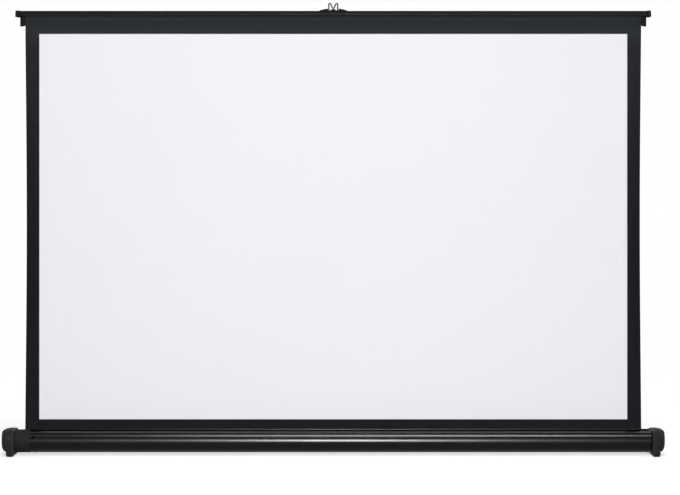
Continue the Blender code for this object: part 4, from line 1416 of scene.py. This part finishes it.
@dataclass
class Hanger(Assembly):
    """The saddle on the bar and the wire bail in its notch."""

    half: float = 19.5 * MM
    base: float = 641.8 * MM
    end_top: float = 642.5 * MM
    top: float = 644.5 * MM
    shoulder: float = 10.0 * MM
    front: float = -3.0 * MM
    wall: Point2 = (4.3 * MM, 6.8 * MM)
    skirt: Point2 = (635.0 * MM, 642.3 * MM)
    notch: float = 7.75 * MM
    notch_z: float = 640.6 * MM
    sill: Point2 = (3.4 * MM, 642.4 * MM)
    edge: float = 0.35 * MM
    wire_radius: float = 1.0 * MM
    pivot: Point2 = (5.1 * MM, 642.8 * MM)
    lean: float = math.radians(42.0)
    ear: float = 10.35 * MM
    foot: float = 6.45 * MM
    peak: float = 14.4 * MM
    valley: float = 4.6 * MM
    bend: float = 1.4 * MM
    screw_x: float = 13.0 * MM
    screw_z: float = 639.13 * MM
    recess_y: float = 5.55 * MM
    recess_radius: float = 2.3 * MM
    past: float = 2.0 * MM

    def bail_line(self) -> list[Point2]:
        """Draws the wire's middle line in its own plane.

        Returns:
            Points along its ears, upright legs, round peaks and round valley.
        """
        bend = self.bend
        peak, valley = Vector((self.foot - bend, self.peak - bend)), Vector((0.0, self.valley + bend))
        apart = peak - valley
        slope = math.degrees(math.atan2(apart.y, apart.x) + math.asin(2 * bend / apart.length))
        half = [(self.ear, 0.0)]
        half += corner((self.foot + bend, bend), bend, 270, 180, 10)
        half += corner(tuple(peak), bend, 0, slope + 90, 18)
        half += corner(tuple(valley), bend, slope - 90, -90, 10)
        return half + [(-x, u) for x, u in reversed(half[:-1])]

    def build(self) -> None:
        """Makes the saddle and the bail."""
        half, notch, past = self.half, self.notch, self.past
        rear, back = self.wall
        outline = [(-half, self.base), (half, self.base), (half, self.end_top)]
        outline += [(self.shoulder, self.top), (-self.shoulder, self.top), (-half, self.end_top)]
        saddle = prism("bar_saddle", outline, Axis.Y, (self.front, back))
        skirt = block("skirt", (-half, rear, self.skirt[0]), (half, back, self.skirt[1]))
        carve(saddle, skirt, "UNION")
        low, high = (-notch, self.front - past, self.notch_z), (notch, back + past, self.top + past)
        carve(saddle, block("notch", low, high))
        low, high = (-notch - GAP, self.front, self.base), (notch + GAP, *self.sill)
        carve(saddle, block("sill", low, high), "UNION")
        soften(saddle, self.edge, 30.0)
        for side in Side:
            at = (side.value * self.screw_x, self.recess_y, self.screw_z)
            carve(saddle, peg("recess", at, Axis.Y, self.recess_radius, (0.0, past)))
        shade(saddle)
        dress(saddle, Body.BAR, Slot.PLASTIC, self.finishes.plastic, replaces=["hanger_saddle"])
        y, z = self.pivot
        away, up = math.sin(self.lean), math.cos(self.lean)
        path = [(x, y + u * away, z + u * up) for x, u in self.bail_line()]
        bail = wire("wire_bail", path, self.wire_radius)
        dress(bail, Body.BAIL, Slot.WIRE, self.finishes.wire, replaces=["hanger_bail"])


@dataclass
class Mast(Assembly):
    """The folding telescopic mast behind the sheet."""

    y: float = 25.0 * MM
    pivot_z: float = 54.0 * MM
    radii: Point3 = (5.4 * MM, 4.0 * MM, 2.6 * MM)
    wall: float = 0.7 * MM
    tube_soft: float = 0.15 * MM
    starts: Point3 = (63.3 * MM, 234.406 * MM, 427.512 * MM)
    ends: Point3 = (256.406 * MM, 449.512 * MM, 642.618 * MM)
    ferrule_wall: float = 0.8 * MM
    ferrule: float = 12.0 * MM
    ferrule_soft: float = 0.9 * MM
    ferrule_edge: float = 0.3 * MM
    lip: float = 3.0 * MM
    grips: Point3 = (3.0 * MM, 5.4 * MM, 7.8 * MM)
    grip: Point3 = (0.4 * MM, 0.9 * MM, 1.3 * MM)
    grip_depth: float = 0.3 * MM
    knuckle_radius: float = 9.0 * MM
    knuckle_y: Point2 = (19.6 * MM, 30.1 * MM)
    knuckle_edge: float = 0.4 * MM
    neck_in: float = 9.0 * MM
    neck_foot: float = 5.0 * MM
    plate_y: Point2 = (16.9 * MM, 19.3 * MM)
    plate_half: float = 15.0 * MM
    plate_foot: float = 15.0 * MM
    plate_shoulder: float = 30.0 * MM
    plate_head: float = 11.0 * MM
    plate_edge: float = 0.35 * MM
    pin_radius: float = 3.0 * MM
    pin_head: float = 4.0 * MM
    pin_dome: float = 0.4 * MM
    pin_y: tuple[float, float, float, float] = (15.7 * MM, 16.6 * MM, 30.4 * MM, 31.3 * MM)
    hook_top: float = 644.918 * MM
    hook_socket: float = 14.0 * MM
    hook_wall: float = 1.6 * MM
    hook_soft: float = 0.6 * MM
    finger_half: float = 2.6 * MM
    finger_front: float = 7.2 * MM
    finger_height: float = 6.0 * MM
    finger_root: float = 0.4

    def turned(self, name: str, profile: Sequence[Point2], hollow: bool = True) -> Piece:
        """A profile turned about the mast."""
        return lathe(name, profile, (0.0, self.y, 0.0), Axis.Z, hollow=hollow)

    def build_foot(self) -> None:
        """Makes the bracket on the case, the knuckle and the pin that it folds about."""
        half, pivot = self.plate_half, (0.0, 0.0, self.pivot_z)
        outline = [(-half, self.plate_shoulder), (-half, self.plate_foot), (half, self.plate_foot)]
        outline += [(half, self.plate_shoulder)]
        outline += corner((0.0, self.pivot_z), self.plate_head, 0, 180, 40)
        plate = soften(prism("mast_plate", outline, Axis.Y, self.plate_y), self.plate_edge, 30.0)
        dress(plate, Body.CASE, Slot.EXTRUSION, self.finishes.bar, replaces=["mast_bracket"])
        low, high = self.knuckle_y
        radius, bore = self.knuckle_radius, self.pin_radius + GAP
        profile = [(radius, high), (radius, low), (bore, low), (bore, high)]
        barrel = lathe("mast_joint", profile, pivot, Axis.Y, hollow=True)
        reach = (self.pivot_z + self.neck_foot, self.starts[0] + self.neck_in)
        neck = peg("neck", (0.0, self.y, 0.0), Axis.Z, self.radii[0] - self.wall - GAP, reach)
        soften(carve(barrel, neck, "UNION"), self.knuckle_edge, 50.0)
        dress(barrel, Body.LOWER, Slot.PLASTIC, self.finishes.plastic, replaces=["mast_knuckle"])
        first, second, third, last = self.pin_y
        dome, head, shaft = self.pin_dome, self.pin_head, self.pin_radius
        profile = [(0.0, last), (0.6 * head, last - 0.2 * dome), (head - dome, last - dome)]
        profile += [(head, last - 2 * dome), (head, third), (shaft, third), (shaft, second), (head, second)]
        profile += [(head, first + dome), (head - dome, first), (0.0, first)]
        pin = lathe("mast_rivet", profile, pivot, Axis.Y)
        dress(pin, Body.CASE, Slot.STEEL, self.finishes.steel, replaces=["mast_pivot_pin"])

    def build_tubes(self) -> None:
        """Makes the three chromed tubes."""
        bodies, soft = (Body.LOWER, Body.MIDDLE, Body.TOP), self.tube_soft
        for body, radius, low, high in zip(bodies, self.radii, self.starts, self.ends):
            bore = radius - self.wall
            profile = [(radius - soft, high), (radius, high - soft), (radius, low + soft)]
            profile += [(radius - soft, low), (bore, low), (bore, high)]
            tube = self.turned(f"{body.value}_tube_chromed", profile)
            dress(tube, body, Slot.CHROME, self.finishes.chrome, replaces=[f"{body.value}_tube"])

    def build_ferrules(self) -> None:
        """Makes the two collars that guide the inner tubes."""
        for i, body in enumerate((Body.LOWER, Body.MIDDLE)):
            bore, guide, end = self.radii[i] + GAP, self.radii[i + 1] + GAP, self.ends[i]
            out, lip, low = bore + self.ferrule_wall, end + GAP, end - self.ferrule
            top, soft, edge = lip + self.lip, self.ferrule_soft, self.ferrule_edge
            profile = corner((out - soft, top - soft), soft, 90, 0, 6)
            for z in (end - down for down in self.grips):
                upper, lower, foot = (z - down for down in self.grip)
                floor = out - self.grip_depth
                profile += [(out, z), (floor, upper), (floor, lower), (out, foot)]
            profile += [(out, low + edge), (out - edge, low), (bore, low), (bore, lip)]
            profile += [(guide, lip), (guide, top)]
            collar = self.turned(f"{body.value}_collar", profile)
            dress(collar, body, Slot.PLASTIC, self.finishes.plastic, replaces=[f"{body.value}_ferrule"])

    def build_hook(self) -> None:
        """Makes the hook on the mast's end."""
        bore, top, soft = self.radii[2] + GAP, self.hook_top, self.hook_soft
        out, roof = bore + self.hook_wall, self.ends[2] + GAP
        low = roof - self.hook_socket
        profile = [(0.0, top), (out - soft, top), (out - 0.3 * soft, top - 0.3 * soft), (out, top - soft)]
        profile += [(out, low + soft), (out - soft, low), (bore, low), (bore, roof), (0.0, roof)]
        hook = self.turned("mast_hook_moulding", profile, hollow=False)
        start = (-self.finger_half, self.finger_front, top - self.finger_height)
        end = (self.finger_half, self.y - bore - self.finger_root * self.hook_wall, top)
        shade(carve(hook, soften(block("finger", start, end), soft), "UNION"))
        dress(hook, Body.TOP, Slot.PLASTIC, self.finishes.plastic, replaces=["mast_hook"])

    def build(self) -> None:
        """Makes the whole mast."""
        for step in (self.build_foot, self.build_tubes, self.build_ferrules, self.build_hook):
            step()


@dataclass(frozen=True)
class Screw:
    """Where a screw's head sits, the way it faces, and its size beside the pattern's."""

    node: str
    seat: Point3
    facing: Axis
    way: float = 1.0
    size: float = 1.0


@dataclass
class Screws(Assembly):
    """The cross-headed screws, set out by rule from one pattern."""

    tube: CaseTube
    hanger: Hanger
    head_radius: float = 2.4 * MM
    head: float = 1.3 * MM
    crown: tuple[Point2, ...] = ((0.0, 1.0), (0.55, 0.97), (0.85, 0.80), (0.97, 0.5), (1.0, 0.15), (1.0, 0.0))
    shank_radius: float = 1.2 * MM
    shank: float = 3.7 * MM
    cross: float = 0.45 * MM
    cross_reach: float = 0.62
    cross_floor: float = 0.35
    sunk_seat: float = 15.7 * MM
    tube_seat: float = 16.9 * MM
    plate_seat: float = 19.6 * MM
    plate_x: float = 11.0 * MM
    plate_head: float = 2.9 * MM
    saddle_seat: float = 5.6 * MM
    saddle_head: float = 2.1 * MM

    def pattern(self) -> Piece:
        """Makes one screw along Z.

        Returns:
            The screw, its head above z = 0.
        """
        profile = [(self.head_radius * out, self.head * up) for out, up in self.crown]
        profile += [(self.shank_radius, 0.0), (self.shank_radius, -self.shank), (0.0, -self.shank)]
        screw = lathe("screw_pattern", profile, (0.0, 0.0, 0.0), Axis.Z, 32)
        reach, low = self.cross_reach * self.head_radius, self.cross_floor * self.head
        for a, b in ((reach, self.cross), (self.cross, reach)):
            carve(screw, block("slot", (-a, -b, low), (a, b, 2 * self.head)))
        return shade(screw)

    def tree(self) -> ShapeGraph:
        """Sets out one pattern at each point, turned to face the point's own way.

        Returns:
            The tree.
        """
        graph = ShapeGraph("screw_set")
        (pattern,) = graph.inputs(pattern="Object")
        shape = graph.node("GeometryNodeObjectInfo", sockets={"Object": pattern}, out="Geometry")
        facing, size = (
            graph.node("GeometryNodeInputNamedAttribute", {"data_type": kind}, {"Name": name})
            for name, kind in (("facing", "FLOAT_VECTOR"), ("size", "FLOAT"))
        )
        turn = graph.node("FunctionNodeAlignRotationToVector", {"axis": "Z"}, {"Vector": facing})
        look = {"Points": graph.given(), "Instance": shape, "Rotation": turn, "Scale": size}
        return graph.close(graph.node("GeometryNodeInstanceOnPoints", sockets=look), self.finishes.steel)

    def places(self) -> dict[Body, list[Screw]]:
        """Lists every screw.

        Returns:
            The screws, by the body that they move with.
        """
        case, bar, axis = [], [], self.tube.axis_z
        for side, x in zip(Side, self.tube.screws):
            name = f"{side.word}_cap_screw"
            case.append(Screw(f"{name}_bottom", (x, 0.0, axis - self.sunk_seat), Axis.Z, -1.0))
            case.append(Screw(f"{name}_rear", (x, self.tube_seat, axis), Axis.Y))
        for side in Side:
            at, size = (side.value * self.plate_x, self.plate_seat, axis), self.plate_head / self.head_radius
            case.append(Screw(f"bracket_screw_{side.word}", at, Axis.Y, size=size))
            at = (side.value * self.hanger.screw_x, self.saddle_seat, self.hanger.screw_z)
            size = self.saddle_head / self.head_radius
            bar.append(Screw(f"saddle_screw_{side.word}", at, Axis.Y, size=size))
        return {Body.CASE: case, Body.BAR: bar}

    def build(self) -> None:
        """Makes one set of screws for each body."""
        pattern, graph = self.pattern(), self.tree()
        for body, screws in self.places().items():
            start = bpy.data.meshes.new("screw_points")
            start.from_pydata([screw.seat for screw in screws], [], [])
            facing = start.attributes.new("facing", "FLOAT_VECTOR", "POINT")
            ways = [screw.way * part for screw in screws for part in screw.facing.value]
            facing.data.foreach_set("vector", ways)
            size = start.attributes.new("size", "FLOAT", "POINT")
            size.data.foreach_set("value", [screw.size for screw in screws])
            made = graph.run(f"{body.value}_screws", start, pattern=pattern)
            dress(made, body, Slot.STEEL, replaces=[screw.node for screw in screws])
        bpy.data.objects.remove(pattern)


class Use(Enum):
    """What a light is there for: to light surfaces, to show in glossy ones, or both."""

    BOTH = (True, True)
    SOFT = (True, False)
    GLOSS = (False, True)


@dataclass(frozen=True)
class Lamp:
    """One soft light: where it stands, what it aims at, its width, height, power and use."""

    name: str
    place: Point3
    aim: Point3
    size: Point2
    watts: float
    use: Use = Use.BOTH


@dataclass
class Studio:
    """The white floor and backdrop, the soft lights and the camera."""

    image: tuple[int, int] = (680, 495)
    pixel: float = 1.446 * MM
    middle_column: float = 333.25
    horizon_row: float = 178.0
    eye_height: float = 400.0 * MM
    distance: float = 3.3
    farthest: float = 200.0
    ambient: float = 0.30
    floor_colour: Colour = (0.75, 0.75, 0.76)
    floor_glow: float = 0.55
    floor_fade: Point2 = (0.7, 1.5)
    floor_half: float = 60.0
    floor_z: float = -0.2 * MM
    lamps: tuple[Lamp, ...] = (
        Lamp("main_softbox", (0.22, -2.65, 4.26), (0.22, 0.0, 0.1), (1.5, 1.0), 50.0),
        Lamp("high_gloss", (0.22, -2.70, 4.34), (0.22, 0.0, 0.1), (1.5, 1.0), 205.0, Use.GLOSS),
        Lamp("low_gloss", (0.02, -6.0, 0.95), (0.02, 0.0, 0.02), (0.30, 1.8), 450.0, Use.GLOSS),
        Lamp("front_fill", (0.0, -1.82, 0.86), (0.0, 0.0, 0.5), (1.2, 0.9), 20.8, Use.SOFT),
        Lamp("rear_softbox", (0.4, 2.6, 1.9), (0.0, 0.0, 0.3), (2.2, 1.2), 22.0),
    )

    def build(self) -> None:
        """Sets the stage."""
        self.sky()
        self.floor()
        for lamp in self.lamps:
            self.light(lamp)
        self.camera()
        bpy.context.scene.view_settings.view_transform = "Standard"

    def white(self, graph: Graph, given: float, seen: float = 1.0) -> Value:
        """Mixes one white for the light that a backdrop gives and one for how it looks.

        Args:
            graph: The tree that it is for.
            given: The level of the light that it gives.
            seen: Its level where it is seen, straight or in a gloss.

        Returns:
            The colour.
        """
        kinds = ("Is Camera Ray", "Is Glossy Ray", "Is Transmission Ray")
        straight, glossy, through = (graph.node("ShaderNodeLightPath", out=kind) for kind in kinds)
        return graph.mix(straight.most(glossy).most(through), (given,) * 3, (seen,) * 3)

    def sky(self) -> None:
        """Makes a plain white world that lights the object softly."""
        world = bpy.data.worlds.new("white_studio")
        bpy.context.scene.world = world
        world.use_nodes = True
        world.node_tree.nodes.clear()
        graph = Graph(world.node_tree)
        shader = graph.node("ShaderNodeBackground", sockets={"Color": self.white(graph, self.ambient)})
        graph.end("ShaderNodeOutputWorld", shader)

    def floor(self) -> None:
        """Lays a wide pale floor just under the feet."""
        far, low = self.floor_half, self.floor_z
        mesh = bpy.data.meshes.new("floor")
        corners = [(-far, -far, low), (far, -far, low), (far, far, low), (-far, far, low)]
        mesh.from_pydata(corners, [], [(0, 1, 2, 3)])
        floor = new_object("floor", mesh)
        paint = Paint("pale_floor")
        darker = tuple(0.985 * part for part in self.floor_colour)
        near = paint.principled(
            base_color=paint.mix(paint.noise((2.0, 2.0, 2.0)), darker, self.floor_colour),
            roughness=0.9,
            specular=0.0,
            emission_color=self.white(paint, 0.0, self.floor_glow),
            emission_strength=1.0,
        )
        away = paint.node("ShaderNodeEmission", sockets={"Color": self.white(paint, self.ambient)})
        spot = paint.node("ShaderNodeTexCoord", out="Object")
        reach = paint.node("ShaderNodeVectorMath", {"operation": "LENGTH"}, {0: spot}, out="Value")
        both = {0: reach.rise(*self.floor_fade), 1: near, 2: away}
        paint.end("ShaderNodeOutputMaterial", paint.node("ShaderNodeMixShader", sockets=both))
        mesh.materials.append(paint.material)

    def light(self, lamp: Lamp) -> None:
        """Hangs one area light.

        Args:
            lamp: What it is like.
        """
        data = bpy.data.lights.new(lamp.name, "AREA")
        data.shape = "RECTANGLE"
        data.size, data.size_y = lamp.size
        data.energy = lamp.watts
        obj = bpy.data.objects.new(lamp.name, data)
        bpy.context.scene.collection.objects.link(obj)
        obj.location = lamp.place
        way = Vector(lamp.aim) - Vector(lamp.place)
        obj.rotation_euler = way.to_track_quat("-Z", "Y").to_euler()
        obj.visible_camera = False
        obj.visible_diffuse, obj.visible_glossy = lamp.use.value

    def camera(self) -> None:
        """Sets a level camera in front, placed by the object's scale and horizon in the picture."""
        data = bpy.data.cameras.new("camera")
        wide, high = self.image
        data.lens = data.sensor_width * self.distance / (wide * self.pixel)
        data.shift_y = -(high / 2 - self.horizon_row) / wide
        data.clip_end = self.farthest
        camera = bpy.data.objects.new("camera", data)
        bpy.context.scene.collection.objects.link(camera)
        camera.location = ((wide / 2 - self.middle_column) * self.pixel, -self.distance, self.eye_height)
        camera.rotation_euler = (math.pi / 2, 0.0, 0.0)
        bpy.context.scene.camera = camera


def main() -> None:
    """Builds the screen piece by piece, then the studio."""
    logging.basicConfig(level=logging.INFO, format="%(name)s %(message)s")
    finishes = Finishes()
    tube, hanger, sheet = CaseTube(finishes), Hanger(finishes), Sheet(finishes)
    tube.build()
    for side in Side:
        EndCap(finishes, side, tube).build()
    FootPads(finishes).build()
    turns = RollerWorks(finishes).build()
    TopBar(finishes).build()
    hanger.build()
    Mast(finishes).build()
    Screws(finishes, tube, hanger).build()
    sheet.declare(sheet.build(), turns)
    Studio().build()


if __name__ == "__main__":
    main()
